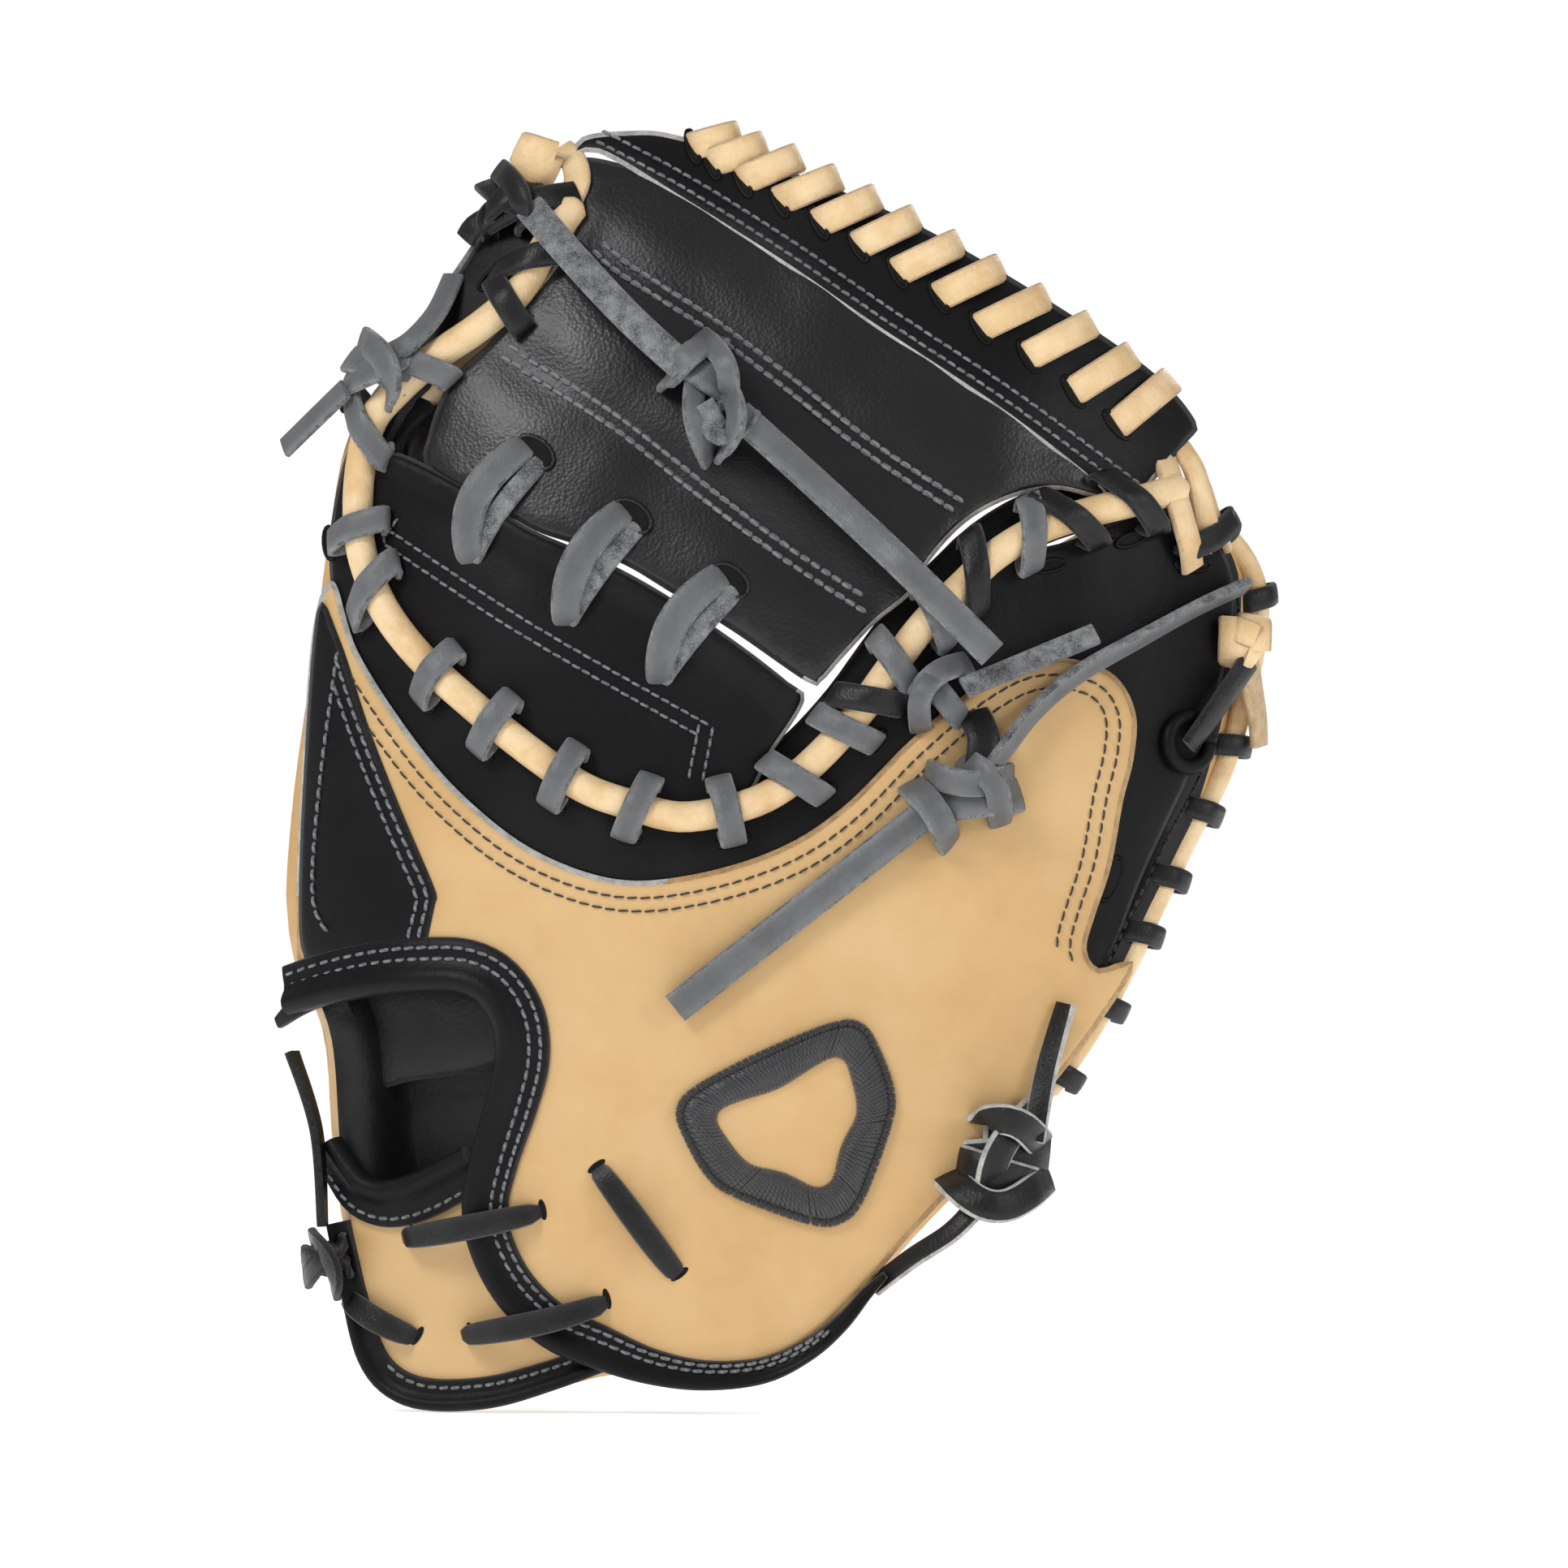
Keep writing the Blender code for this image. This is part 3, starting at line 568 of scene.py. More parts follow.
def laces(name, kind, strips, *nodes, cuts=LACE_CUTS):
    """Flat laces as one finished piece."""
    look, cut, slot = LEATHERS[kind]
    place(lace_mesh(name, strips, look, cut, cuts), *nodes, slot=slot)


def strands(name, paths, radius, look, *nodes, sides=6, flatness=1.0, ends=0.55, slot=None):
    """Round strands, such as stitches or a roll, as one finished piece; ends is how far they taper."""
    angles = np.arange(sides) / sides * 2 * math.pi
    profile = np.column_stack([np.cos(angles), np.sin(angles) * flatness])
    strips = []
    for path in paths:
        sizes = np.full(len(path), float(radius))
        sizes[[0, -1]] *= ends
        strips.append((path, unit(np.cross(tangents(path), TOWARDS_VIEWER)), sizes, sizes))
    points, faces, _, _ = sweep(strips, profile)
    place(add_mesh(name, points, faces, [look]), *nodes, slot=slot)


def stitches(name, rows, height, look, radius=0.42, pitch=3.3, share=0.80, surface=None):
    """Stitches along flat lines as one piece, each dipping into the leather at both ends."""
    if surface is None:
        def surface(flat, dip):
            return out(flat, height) + normals(flat) * dip[:, None]
    t = np.array([0, 0.18, 0.5, 0.82, 1.0])
    dip = np.array([STITCH_DIP, 0.7, 1.0, 0.7, STITCH_DIP]) * STITCH_RISE
    paths = []
    for line in rows:
        spots = even(line, pitch)
        for start, end in zip(spots[:-1], spots[1:]):
            along = (end - start) * share
            slant = np.array([-along[1], along[0]]) * STITCH_SLANT
            paths.append(surface(start + along * t[:, None] + slant * (t[:, None] - 0.5), dip))
    strands(name, paths, radius, look, flatness=STITCH_FLATNESS)


def strand(route, width, twist=0.0, start_twist=0.0, thick=LACE_THICK):
    """A flat lace through (x, z, lift) points, turning about its own line from start_twist by twist. Its
    width is a number, or one for each end."""
    line = smooth(route, False, 1.5)
    points = out(line[:, :2], line[:, 2])
    out_of = normals(line[:, :2])
    angle = np.radians(start_twist + np.linspace(0, twist, len(points)))[:, None]
    side = np.cross(tangents(points), out_of) * np.cos(angle) + out_of * np.sin(angle)
    return points, side, np.linspace(*np.broadcast_to(width, 2), len(points)), thick


# ---------------------------------------------------------------- the camera and the studio

def make_camera():
    distance, seen_width, sensor, depth, height = 4.0, 0.3767, 36.0, 0.014, 0.1519
    aim = Vector((0.0, CAD_BOX[0][1] + depth, height))
    data = bpy.data.cameras.new("camera")
    data.sensor_width = sensor
    data.lens = sensor * distance / seen_width
    data.clip_end = 50
    camera = add_object("camera", data)
    camera.location = aim - Vector((0, distance, 0))
    camera.rotation_euler = (math.radians(90), 0, 0)
    bpy.context.scene.camera = camera


def make_studio():
    scene = bpy.context.scene
    scene.view_settings.view_transform = "Standard"
    world = bpy.data.worlds.new("studio")
    scene.world = world
    world.use_nodes = True
    tree = world.node_tree
    ambient = tree.nodes["Background"]
    feed(tree, ambient, {"Color": (1, 1, 1), "Strength": 0.36})
    seen = add(tree, "Background", {"Color": (1, 1, 1), "Strength": 1.0})
    rays = add(tree, "LightPath", {})
    shown = add(tree, "MixShader", {0: rays, 1: ambient.outputs[0], 2: seen})
    feed(tree, tree.nodes["World Output"], {"Surface": shown})
    middle = Vector((0, 0, 0.16))
    lamps = {"key": ((-0.85, -1.1, 1.2), 0.6, 13), "side": ((1.3, -0.9, 0.75), 0.6, 5.5),
             "rear": ((0.3, 1.3, 0.9), 0.9, 8)}
    for name, (spot, size, power) in lamps.items():
        data = bpy.data.lights.new(name, "AREA")
        data.shape = "DISK"
        data.size = size
        data.energy = power
        lamp = add_object(name, data)
        lamp.location = spot
        lamp.rotation_euler = (middle - Vector(spot)).to_track_quat("-Z", "Y").to_euler()
    half = 6.0
    data = bpy.data.meshes.new("floor")
    data.from_pydata([(-half, -half, 0), (half, -half, 0), (half, half, 0), (-half, half, 0)], [],
                     [(0, 1, 2, 3)])
    data.materials.append(glowing("pale_floor", (0.93, 0.93, 0.93), 0.8, 0.7))
    add_object("floor", data)


# ---------------------------------------------------------------- cords: the free tails of the laces

TAILS = {  # node: route of (x, z, lift), width, kind, twist at the start and over its length, raw faces
    "web_tie_tail": ([(-11, 241, 13), (10, 222, 11), (30, 203, 20), (50, 183, 20)], 7.4, "grey", 10, -25,
                     LACE_CUTS),
    "finger_tie_tail": ([(33, 144, 9), (10, 126, 7.5), (-12, 109, 8), (-26, 98, 8)], 7.6, "grey", -10, 22,
                        LACE_CUTS),
    "side_tie_tail": ([(43.5, 175, 11), (58, 181, 9), (75, 188, 8)], 5.4, "grey", 25, -10, RAW_FACE_CUTS),
    "heel_tie_tail": ([(60, 66, 12), (63, 82, 9), (68, 99, 8)], 5.6, "pale", 20, 45, LACE_CUTS),
    "wrist_tie_tail": ([(-111.5, 45, 9), (-113, 68, 9), (-119, 87, 11)], 4.4, "black", 62, 14, LACE_CUTS),
    "rim_top_tail": ([(113, 182, 8), (106, 172, 9), (98, 161, 5)], 6.5, "black", 10, 20, LACE_CUTS),
}


def make_tails():
    for name, (route, width, kind, first, twist, cuts) in TAILS.items():
        points, side, _, _ = strand(route, width, twist, first)
        look, cut, slot = LEATHERS[kind]
        piece = lace_mesh(name + "_lace", [(points, side, width, TAIL_THICK)], look, cut, cuts)
        place(piece, name, slot=slot, body="finger_side")
        length = float(np.linalg.norm(np.diff(points, axis=0), axis=1).sum()) * MM
        if length < 6 * width * MM or length < CORD_LEAST:
            continue
        path = (points + SHIFT) * MM
        tuple(path[0])


# ---------------------------------------------------------------- the padded body

def body_depth(flat):
    """How deep the hand's space is: open under the palm and at the heel, closed at the rim."""
    x, z = columns(flat)
    opened = ramp(reach(flat, BODY_EDGE), 4, 20)
    opened = opened * opened * (3 - 2 * opened)
    return HAND_DEPTH * np.maximum(opened, ramp(z, 34, 18) * ramp(x, 20, 6))


def make_body():
    """The pocket's leather: its catching side, the inner side by the hand, and bulging walls between."""
    edge = counterclockwise(smooth(BODY_OUTLINE, True, 3.0))
    flat, faces, ids = triangulate(edge, grid_inside(edge, 2.5, 4.5))
    near = reach(flat, edge)
    outer = on_pocket(flat, 0)
    hollow = out(flat, -body_depth(flat) - 1.0)
    count, size = len(flat), len(edge)
    points = [outer, hollow]
    left = ramp(edge[:, 0], -70, -105) * ramp(edge[:, 1], 95, 125)
    inwards = offset(edge, 1.0, True) - edge
    levels = (0.12, 0.35, 0.62, 0.86)
    for level in levels:
        ring = edge - inwards * (math.sin(math.pi * level) * (1.6 + 2.6 * left))[:, None]
        y = hollow[ids][:, 1] * (1 - level) + outer[ids][:, 1] * level
        points.append(np.column_stack([ring[:, 0], y, ring[:, 1]]))
    walls = 2 * count + np.arange(len(levels) * size).reshape(len(levels), size)
    rows = [count + ids, *walls, ids]
    made = [face[::-1] for face in faces] + [[count + i for i in face] for face in faces]
    kinds = [0] * len(faces) + [1] * len(faces)
    for lower, upper in zip(rows[:-1], rows[1:]):
        made += between(lower, upper)
        kinds += [0] * size
    wear = np.concatenate([0.35 * np.exp(-near / 5), np.zeros(count), np.full(walls.size, 0.3)])
    piece = add_mesh("pocket_leather", np.vstack(points), made, [POCKET, LINING], kinds, wear, True)
    place(piece, "palm_leather", "thumb_leather", slot="pocket_leather")


def make_welt():
    """The welt sewn into the seam between the pocket's leather and the side wall."""
    edge = smooth(BODY_OUTLINE, True, 2.5)
    first, last = (int(np.hypot(*(edge - spot).T).argmin()) for spot in ((103, 215), (-70, 287)))
    line = edge[first:last + 1]
    spots = offset(line, 0.4)
    path = np.column_stack([spots[:, 0], on_pocket(line, -0.6)[:, 1], spots[:, 1]])
    strands("side_welt", [path], 1.7, TAN, sides=12, slot="tan_leather")


def across(low, high, count):
    """Shares and points of a straight line between two flat points, and the way across it."""
    t = np.linspace(0, 1, count)
    run = np.subtract(high, low)
    side = np.array([-run[1], 0, run[0]]) / np.linalg.norm(run)
    return t, low + run * t[:, None], np.tile(side, (count, 1))


def pocket_lace(low, high, width=6.0):
    """A short lace between two holes of the pocket's leather."""
    t, flat, side = across(low, high, 15)
    points = on_pocket(flat, (POCKET_BOW + POCKET_SINK) * arched(t, LACE_ARCH) - POCKET_SINK)
    return points, side, width, LACE_THICK


def make_pocket_side():
    """Stitched seams and lacing of the side that catches."""
    rim = [(96, 204), (99, 190), (95, 165), (88, 142), (77, 121), (63, 100), (46, 79), (28, 58),
           (12, 40), (-4, 27), (-22, 20), (-45, 18), (-72, 18), (-86, 24), (-92, 40), (-96, 65),
           (-99, 95), (-103, 125), (-101, 150), (-97, 180), (-95, 205), (-92, 228)]
    web = [(86, 203), (66, 194), (50, 185), (40, 174), (26, 152), (8, 138), (-12, 131), (-30, 131),
           (-52, 142), (-72, 160), (-88, 180)]
    palm = [(56, 150), (44, 116), (24, 86), (-2, 62), (-34, 50), (-60, 52), (-76, 66), (-82, 92),
            (-82, 120), (-76, 140)]
    rows = [row(rim), row(rim, 3.2), row(web), row(web, 3.0), row(palm), row(palm, 3.0)]
    stitches("pocket_stitching", rows, 0, TAN_THREAD, pitch=3.4,
             surface=lambda flat, dip: on_pocket(flat, dip + 0.1))
    runs = [((22, 40), (30, 49)), ((8, 24), (17, 33)), ((-12, 14), (0, 20)), ((-36, 11), (-24, 12.5)),
            ((-62, 11), (-49, 11)), ((-84, 15), (-73, 12)), ((-98, 48), (-95, 36)),
            ((-102, 84), (-100, 72)), ((-109, 124), (-107, 111)), ((-107, 160), (-108, 147)),
            ((-102, 195), (-104, 182)), ((104, 190), (105, 203)), ((99, 160), (102, 173)),
            ((89, 132), (94, 144)), ((75, 106), (82, 117)), ((59, 84), (67, 94)), ((40, 62), (49, 72))]
    laces("pocket_rim_lacing", "black", [pocket_lace(*run) for run in runs])
    runs = [((-47, 66), (-55, 76)), ((-38, 76), (-46, 86))]
    laces("pocket_palm_lacing", "cream", [pocket_lace(*run, width=6.5) for run in runs])


def make_lining():
    outline = [
        (-20, 14), (-2, 24), (23, 54), (36, 78), (43, 108), (44, 138), (34, 152), (20, 150), (2, 136),
        (-30, 130), (-60, 140), (-75, 120), (-101, 110), (-101, 95), (-98, 62), (-93, 34), (-84, 17),
        (-60, 14)]
    hide("hand_lining", "lining", outline, HAND_LINING, "palm_liner", "thumb_liner", cell=6, spacing=4)


def make_pads():
    """Felt pads between the hand's space and the pocket's leather."""
    pads = {
        "palm_pad": [(-54, 44), (10, 44), (26, 62), (36, 80), (42, 108), (43, 140), (36, 150),
                     (20, 146), (0, 131), (-30, 127), (-54, 134)],
        "heel_pad": [(-54, 19), (-20, 21), (-5, 27), (9, 40), (-54, 40)],
        "thumb_pad": [(-66, 23), (-82, 25), (-90, 38), (-96, 62), (-100, 95), (-102, 120), (-100, 150),
                      (-97, 174), (-94, 183), (-87, 178), (-78, 164), (-68, 149)],
        "finger_pad": [(82, 205), (95, 203), (99, 196), (96, 176), (90, 152), (81, 130), (70, 108),
                       (58, 92), (48, 82), (51, 108), (52, 140), (48, 162), (42, 177), (55, 188),
                       (70, 197)],
    }
    for name, outline in pads.items():
        edge = counterclockwise(smooth(outline, True, 4))
        flat, faces, ids = triangulate(edge, grid_inside(edge, 3, 6))
        low = body_depth(flat) + 2.2
        high = (on_pocket(flat, 0)[:, 1] - back(flat)) * 0.9 - 1.5
        half = np.maximum(high - low, 1.0) / 2 * (0.45 + 0.55 * crown(reach(flat, edge), 7))
        middle = (low + high) / 2
        points = np.vstack([out(flat, -middle - half), out(flat, half - middle)])
        count = len(flat)
        made = [f[::-1] for f in faces] + [[count + i for i in f] for f in faces]
        piece = add_mesh(name + "_felt", points, made + between(count + ids, ids), [FELT])
        place(piece, name, slot="felt", body="thumb_side" if name == "thumb_pad" else "finger_side")


# ---------------------------------------------------------------- leathers of the back

SHELL_TOP = [
    (-109, 201), (-103, 184), (-90, 164), (-77, 149), (-60, 136), (-40, 129), (-20, 130.5), (0, 137),
    (15, 147), (30, 162), (45, 174.5), (58, 181.5), (70, 182), (80, 178), (85, 169), (84.5, 158),
    (82, 148), (79, 132), (75, 120), (73, 112), (76, 107.5), (82, 109)]
SHELL_LOW = [
    (84, 106), (67, 82), (49, 63), (32, 45), (17, 28), (2, 15), (-20, 8), (-40, 11), (-53, 20),
    (-63, 32), (-69, 46), (-66, 62), (-61, 76), (-59, 90), (-64, 101), (-75, 106), (-92, 107),
    (-115, 105), (-118, 120), (-117, 150), (-114, 190)]


def make_back():
    collar = [
        (-110, 203), (-108, 225), (-102, 240), (-87, 262), (-72, 287), (-64, 297), (-55, 292),
        (-59, 281), (-68, 268), (-88, 254), (-101, 236), (-104, 220), (-102, 204), (-98, 196),
        (-89, 184), (-75, 171), (-60, 158), (-45, 149), (-28, 143), (-12, 145), (0, 151), (10, 160),
        (20, 173), (28, 186), (38, 196), (50, 204), (52, 190), (48, 172), (32, 158), (17, 143),
        (0, 133), (-20, 126), (-40, 125), (-60, 131), (-79, 144), (-93, 159), (-105, 180)]
    hide("web_collar", "trim", collar, COLLAR, "collar", "thumb_collar", "horn_collar", wave=(9.0, 0.35))
    side = [
        (46, 201), (70, 211), (88, 218), (100, 216), (107, 208), (109.5, 196), (106, 176), (99, 156),
        (92, 141), (86, 128), (80.5, 114), (75, 102), (70, 100), (69, 110), (74, 125), (78, 150),
        (77, 164), (70, 171), (58, 171), (46, 166)]
    hide("finger_side_cover", "trim", side, COLLAR, "finger_side_panel", wave=(16.0, 0.8))
    hide("back_cover", "shell", SHELL_TOP + SHELL_LOW, SHELL, "back_shell", "thumb_shell", cell=3.5,
         cut_width=1.3, wave=(14.0, 0.12), wear=0.22, wear_reach=3.0,
         other=(TAN_CUT, lambda x, z: z < 126 or x > -28))
    rows = [row(SHELL_TOP, -4.2)[8:-5], row(SHELL_TOP, -7.4)[10:-6]]
    stitches("back_cover_stitching", rows, SHELL[1] + 0.1, DARK_THREAD, radius=0.27, pitch=3.2)

    panel = [
        (-113, 194), (-107.5, 187), (-100, 165), (-92, 145), (-85, 129), (-83.5, 124.5), (-84, 123),
        (-86.2, 113), (-87.5, 110), (-100, 109), (-114, 109), (-116.5, 111), (-117.5, 121), (-116.5, 150)]
    hide("thumb_cover", "trim", panel, OVERLAY, "thumb_panel")
    right = [(-107.5, 187), (-100, 165), (-92, 145), (-85, 129), (-83.5, 124.5), (-86.2, 113)]
    left = [(-110, 184), (-114.5, 150), (-116, 124), (-111.5, 114)]
    rows = [row(right, -2.2)[3:], row(right, -4.6)[6:], row(left, 2.2)]
    stitches("thumb_cover_stitching", rows, OVERLAY[1] + 0.1, GREY_THREAD)


ROLLED = np.array([  # across a folded binding, from its rolled inner side to its flat raw edge
    (-0.5, -0.4), (0.5, -0.4), (0.5, 0.9), (0.47, 1.5), (0.3, 1.8), (0.12, 1.9), (0.0, 2.3),
    (-0.1, 3.3), (-0.2, 4.0), (-0.32, 4.2), (-0.43, 3.7), (-0.5, 2.6), (-0.53, 1.2)])
ROLLED_CUTS = {1, 2}


def binding(name, centre, height, *nodes, flip=False):
    """A folded leather strip along (x, z, width) points; its rolled side is on the left, or the right."""
    line = smooth(centre, False, 2.0)
    points = out(line[:, :2], height)
    side = np.cross(tangents(points), normals(line[:, :2]))
    profile, cuts = ROLLED, ROLLED_CUTS
    if flip:
        profile = (ROLLED * [-1, 1])[::-1]
        cuts = {len(ROLLED) - 2 - k for k in ROLLED_CUTS}
    piece = lace_mesh(name, [(points, side, line[:, 2], 1.0)], BLACK, BLACK_CUT, cuts, profile)
    place(piece, *nodes, slot="black_leather")


def binding_row(centre, share, first=0, last=None):
    """A line along a binding, a share of its width to the left of its middle."""
    line = smooth(centre, False, 2.0)
    flat = line[:, :2]
    return (flat + (offset(flat, 1.0) - flat) * (share * line[:, 2])[:, None])[first:last]


OPENING = [
    (-119.5, 102, 12), (-110, 105, 12.5), (-98, 107.5, 13), (-86, 108.5, 13), (-76, 108, 13),
    (-68.5, 104, 13), (-63.5, 96, 13), (-62.5, 86, 13), (-65, 75, 12.5), (-69, 62, 11.5),
    (-71.5, 50, 11), (-69.5, 40, 11), (-64, 30, 11), (-55, 21.5, 11), (-44, 16.5, 10.5), (-32, 12, 8.5),
    (-19, 9.8, 7), (-5, 11, 6), (6, 16, 4.8), (14, 22.5, 3.8), (20, 29.5, 2.8), (24.5, 34, 1.6)]
STRAP_TOP = [(-110, 64, 9), (-106.5, 58, 10), (-102, 52.5, 11), (-95, 50.5, 11.5), (-86, 53, 11.5),
             (-74, 59.5, 11)]
STRAP_BASE = [(-107, 46, 5), (-103, 28, 6), (-99, 14, 7), (-93, 7, 7.5), (-84, 4.5, 7.5), (-70, 5.5, 7.5),
              (-56, 9.5, 7), (-44, 14, 7)]


def make_opening():
    """The bindings of the hand's opening, the strap across it and what is seen inside it."""
    binding("opening_trim", OPENING, 4.2, "opening_binding", "thumb_binding", flip=True)
    rows = [binding_row(OPENING, share, 0, -9) for share in (0.10, 0.31)]
    stitches("opening_trim_stitching", rows, 6.2, GREY_THREAD, pitch=3.0)
    laces("opening_pull_tab", "trim", [strand([(-114, 101, 3), (-118, 98, 5), (-122.5, 94, 4)], (8, 3))])
    strap = [
        (-105, 50), (-95, 51), (-82, 54), (-68, 60), (-62, 50), (-60, 38), (-52, 27), (-40, 20),
        (-42, 13), (-58, 6), (-75, 1.5), (-90, 2.5), (-98, 10), (-103, 30)]
    hide("wrist_strap_leather", "strap", strap, STRAP, "wrist_strap", wave=(14.0, 0.5), wear=0.4)
    binding("strap_top_trim", STRAP_TOP, 2.0, "strap_top_binding")
    binding("strap_base_trim", STRAP_BASE, 1.6, "strap_base_binding", flip=True)
    stitches("strap_top_stitching", [binding_row(STRAP_TOP, -0.32)], 3.9, GREY_THREAD, pitch=2.8)
    stitches("strap_base_stitching", [binding_row(STRAP_BASE, 0.22, 18)], 3.5, GREY_THREAD, pitch=2.8)
    tongue = [(-110, 100), (-88, 104), (-66, 102), (-66, 88), (-72, 83), (-90, 80), (-101, 78), (-105, 88)]
    hide("window_tongue", "lining", tongue, TONGUE)


# ---------------------------------------------------------------- the web

MAIN_PANEL = [
    (-49, 304), (-49.5, 293), (-54, 280), (-64, 267), (-72, 258), (-79.5, 251), (-83.5, 244), (-86, 236),
    (-87, 230), (-82, 225), (-72, 220), (-60, 213), (-50, 209.5), (-38, 204.5), (-28, 198.5),
    (-12, 188.5), (5.5, 176.5), (9, 176.5), (14, 182), (22, 190.5), (31, 198), (35.5, 206), (44, 215),
    (54, 220.5), (65, 223), (75, 221), (83, 219.5), (60, 240), (30, 262), (0, 282), (-25, 297)]
LOWER_PANEL = [
    (-98, 230), (-93, 232), (-78, 224.5), (-62, 214), (-45, 206.5), (-30, 198.5), (-12, 186.5), (1, 176.5),
    (5, 172), (-3, 159), (-10, 148), (-28, 145), (-55, 157), (-72, 171), (-88, 187), (-98, 204),
    (-101, 218)]
TOP_BAND = [
    (-52, 303), (-49, 309), (-38, 310.5), (-26, 309.5), (0, 301), (30, 288.5), (60, 271.5), (88, 253),
    (100, 240), (98, 235), (92, 228), (86, 221), (82, 218), (70, 228), (50, 243), (20, 263), (0, 277),
    (-25, 293), (-45, 305)]
LOWER_LIP = smooth([(-96, 231), (-78, 222.5), (-62, 212), (-45, 204.5), (-30, 196), (-12, 184), (2, 174)])
SEAMS = [
    [(-46, 281), (-40, 275.5), (-20, 262.5), (0, 247.5), (20, 231.5), (42, 217)],
    [(-68, 255.5), (-60, 250), (-40, 237), (-20, 221), (0, 206), (20, 193)]]
SEAM_MIDDLES = np.vstack([row(seam, 1.5, spacing=3.0) for seam in SEAMS])


def rolled_lip(flat):
    """The lower panel's top edge stands up as a roll."""
    return 2.6 * np.exp(-(from_line(flat, LOWER_LIP) / 3.6) ** 2)


def quilted(flat):
    """The main panel swells between its seams."""
    return 1.5 * (1 - np.exp(-(from_line(flat, SEAM_MIDDLES) / 6) ** 2)) - 0.5


def make_web():
    ring = smooth(RING, False, 4.0)
    backing = np.vstack([offset(ring, -4.0)[14:], offset(ring, 9.5)[14:-3][::-1]])
    hide("pocket_edge_leather", "trim", backing, BACKING, cell=5, spacing=4)
    hide("web_panel", "panel", MAIN_PANEL, WEB, "web_main_panel", "web_main_lining", cell=3.5,
         wave=(16.0, 0.7), cut_width=1.0, lift=quilted,
         other=(PALE_CUT, lambda x, z: (x > 4 and z < 226) or (x < -47 and z > 270)))
    rows = [row(seam, shift) for seam in SEAMS for shift in (0.0, 3.0)]
    stitches("web_seam_stitching", rows, WEB[1] - 0.2, GREY_THREAD, radius=0.62, pitch=3.0, share=0.9)
    stitches("web_back_stitching", rows, 0, GREY_THREAD, radius=0.5, pitch=3.0,
             surface=lambda flat, dip: out(flat, WEB[0] - 0.55 - dip))

    hide("web_lower_leather", "trim", LOWER_PANEL, WEB, "web_lower_panel", "web_lower_lining", cell=2.6,
         wave=(20.0, 0.3), cut_width=0.9, lift=rolled_lip,
         other=(PALE_CUT, lambda x, z: x > -14 and z < 174))
    upper = [(-95, 213), (-92, 211), (-60, 190), (-17, 165.5)]
    side = [(-17, 165.5), (-20, 150)]
    rows = [row(upper), row(upper, -3.4), row(side), row(side, -3.4)]
    stitches("web_lower_stitching", rows, WEB[1] + 0.2, GREY_THREAD, radius=0.36, pitch=2.7)

    hide("web_band", "trim", TOP_BAND, WEB_BAND, "web_top_band", cell=3.5, cut_width=1.2,
         other=(PALE_CUT, lambda x, z: z < 302 - 0.63 * x - 12 * (x > 30)))
    line = [(-47, 305), (-25, 293), (0, 277), (20, 263), (50, 243), (70, 228.5), (84, 218)]
    stitches("web_band_stitching", [row(line, 3.2), row(line, 6.2)], WEB_BAND[1] + 0.1, GREY_THREAD,
             radius=0.4, pitch=2.8)


# ---------------------------------------------------------------- rolls and laces

def over_roll(spot, along, height, radius, width, slant, spread=1.7):
    """A flat lace over a roll, spreading to both sides and down into the leather beyond it."""
    centre, normal = out(spot, height)[0], normals([spot])[0]
    forward = np.array([along[0], 0, along[1]])
    forward = unit(forward - normal * (forward @ normal))
    sideways = np.cross(forward, normal)
    angles = np.radians(np.linspace(WRAP_FROM, WRAP_TO, 19))
    wide = np.cos(angles) * radius * (1 + (spread - 1) * np.abs(np.cos(angles)) ** 3)
    points = (centre + (sideways + forward * slant) * wide[:, None]
              + normal * (np.sin(angles) * radius)[:, None])
    side = np.cross(tangents(points), np.cross(forward, tangents(points)))
    return points, side, width, LACE_THICK


def nearest_on(line, spot):
    """Nearest point of a flat line, its direction there and that direction's angle."""
    i = int(np.argmin(np.hypot(*(line - spot).T)))
    along = tangents(line)[i]
    return line[i], along, math.degrees(math.atan2(along[1], along[0]))


def tilt_of(low, high):
    return math.degrees(math.atan2(high[1] - low[1], high[0] - low[0]))


def holes(name, spots, lip_look=None):
    """Lace holes: a slit painted near-black for the shade inside the hole, in a puckered lip of that look
    if there is one, for each (x, z, height, half length, half width, tilt)."""
    points, faces, lips = [], [], []
    angles = np.linspace(0, 2 * math.pi, HOLE_SIDES + 1)
    for number, (x, z, height, long, short, tilt) in enumerate(spots):
        c, s = math.cos(math.radians(tilt)), math.sin(math.radians(tilt))
        oval = np.column_stack([long * np.cos(angles), short * np.sin(angles)]) @ [[c, s], [-s, c]]
        middle = number * (HOLE_SIDES + 1) + HOLE_SIDES
        points.append(out(np.vstack([oval[:-1], (0, 0)]) + (x, z), height))
        rim = middle - HOLE_SIDES + np.arange(HOLE_SIDES)
        faces += [(first, second, middle) for first, second in zip(rim, np.roll(rim, -1))]
        lips.append(out(1.12 * oval + (x, z), height - 0.15))
    # the holes' discs carry painted shade, not a dark material of the mitt
    place(add_mesh(name, np.vstack(points), faces, [HOLE_SHADE]))
    if lip_look:
        strands(name + "_lips", lips, PUCKER, lip_look, ends=1.0)


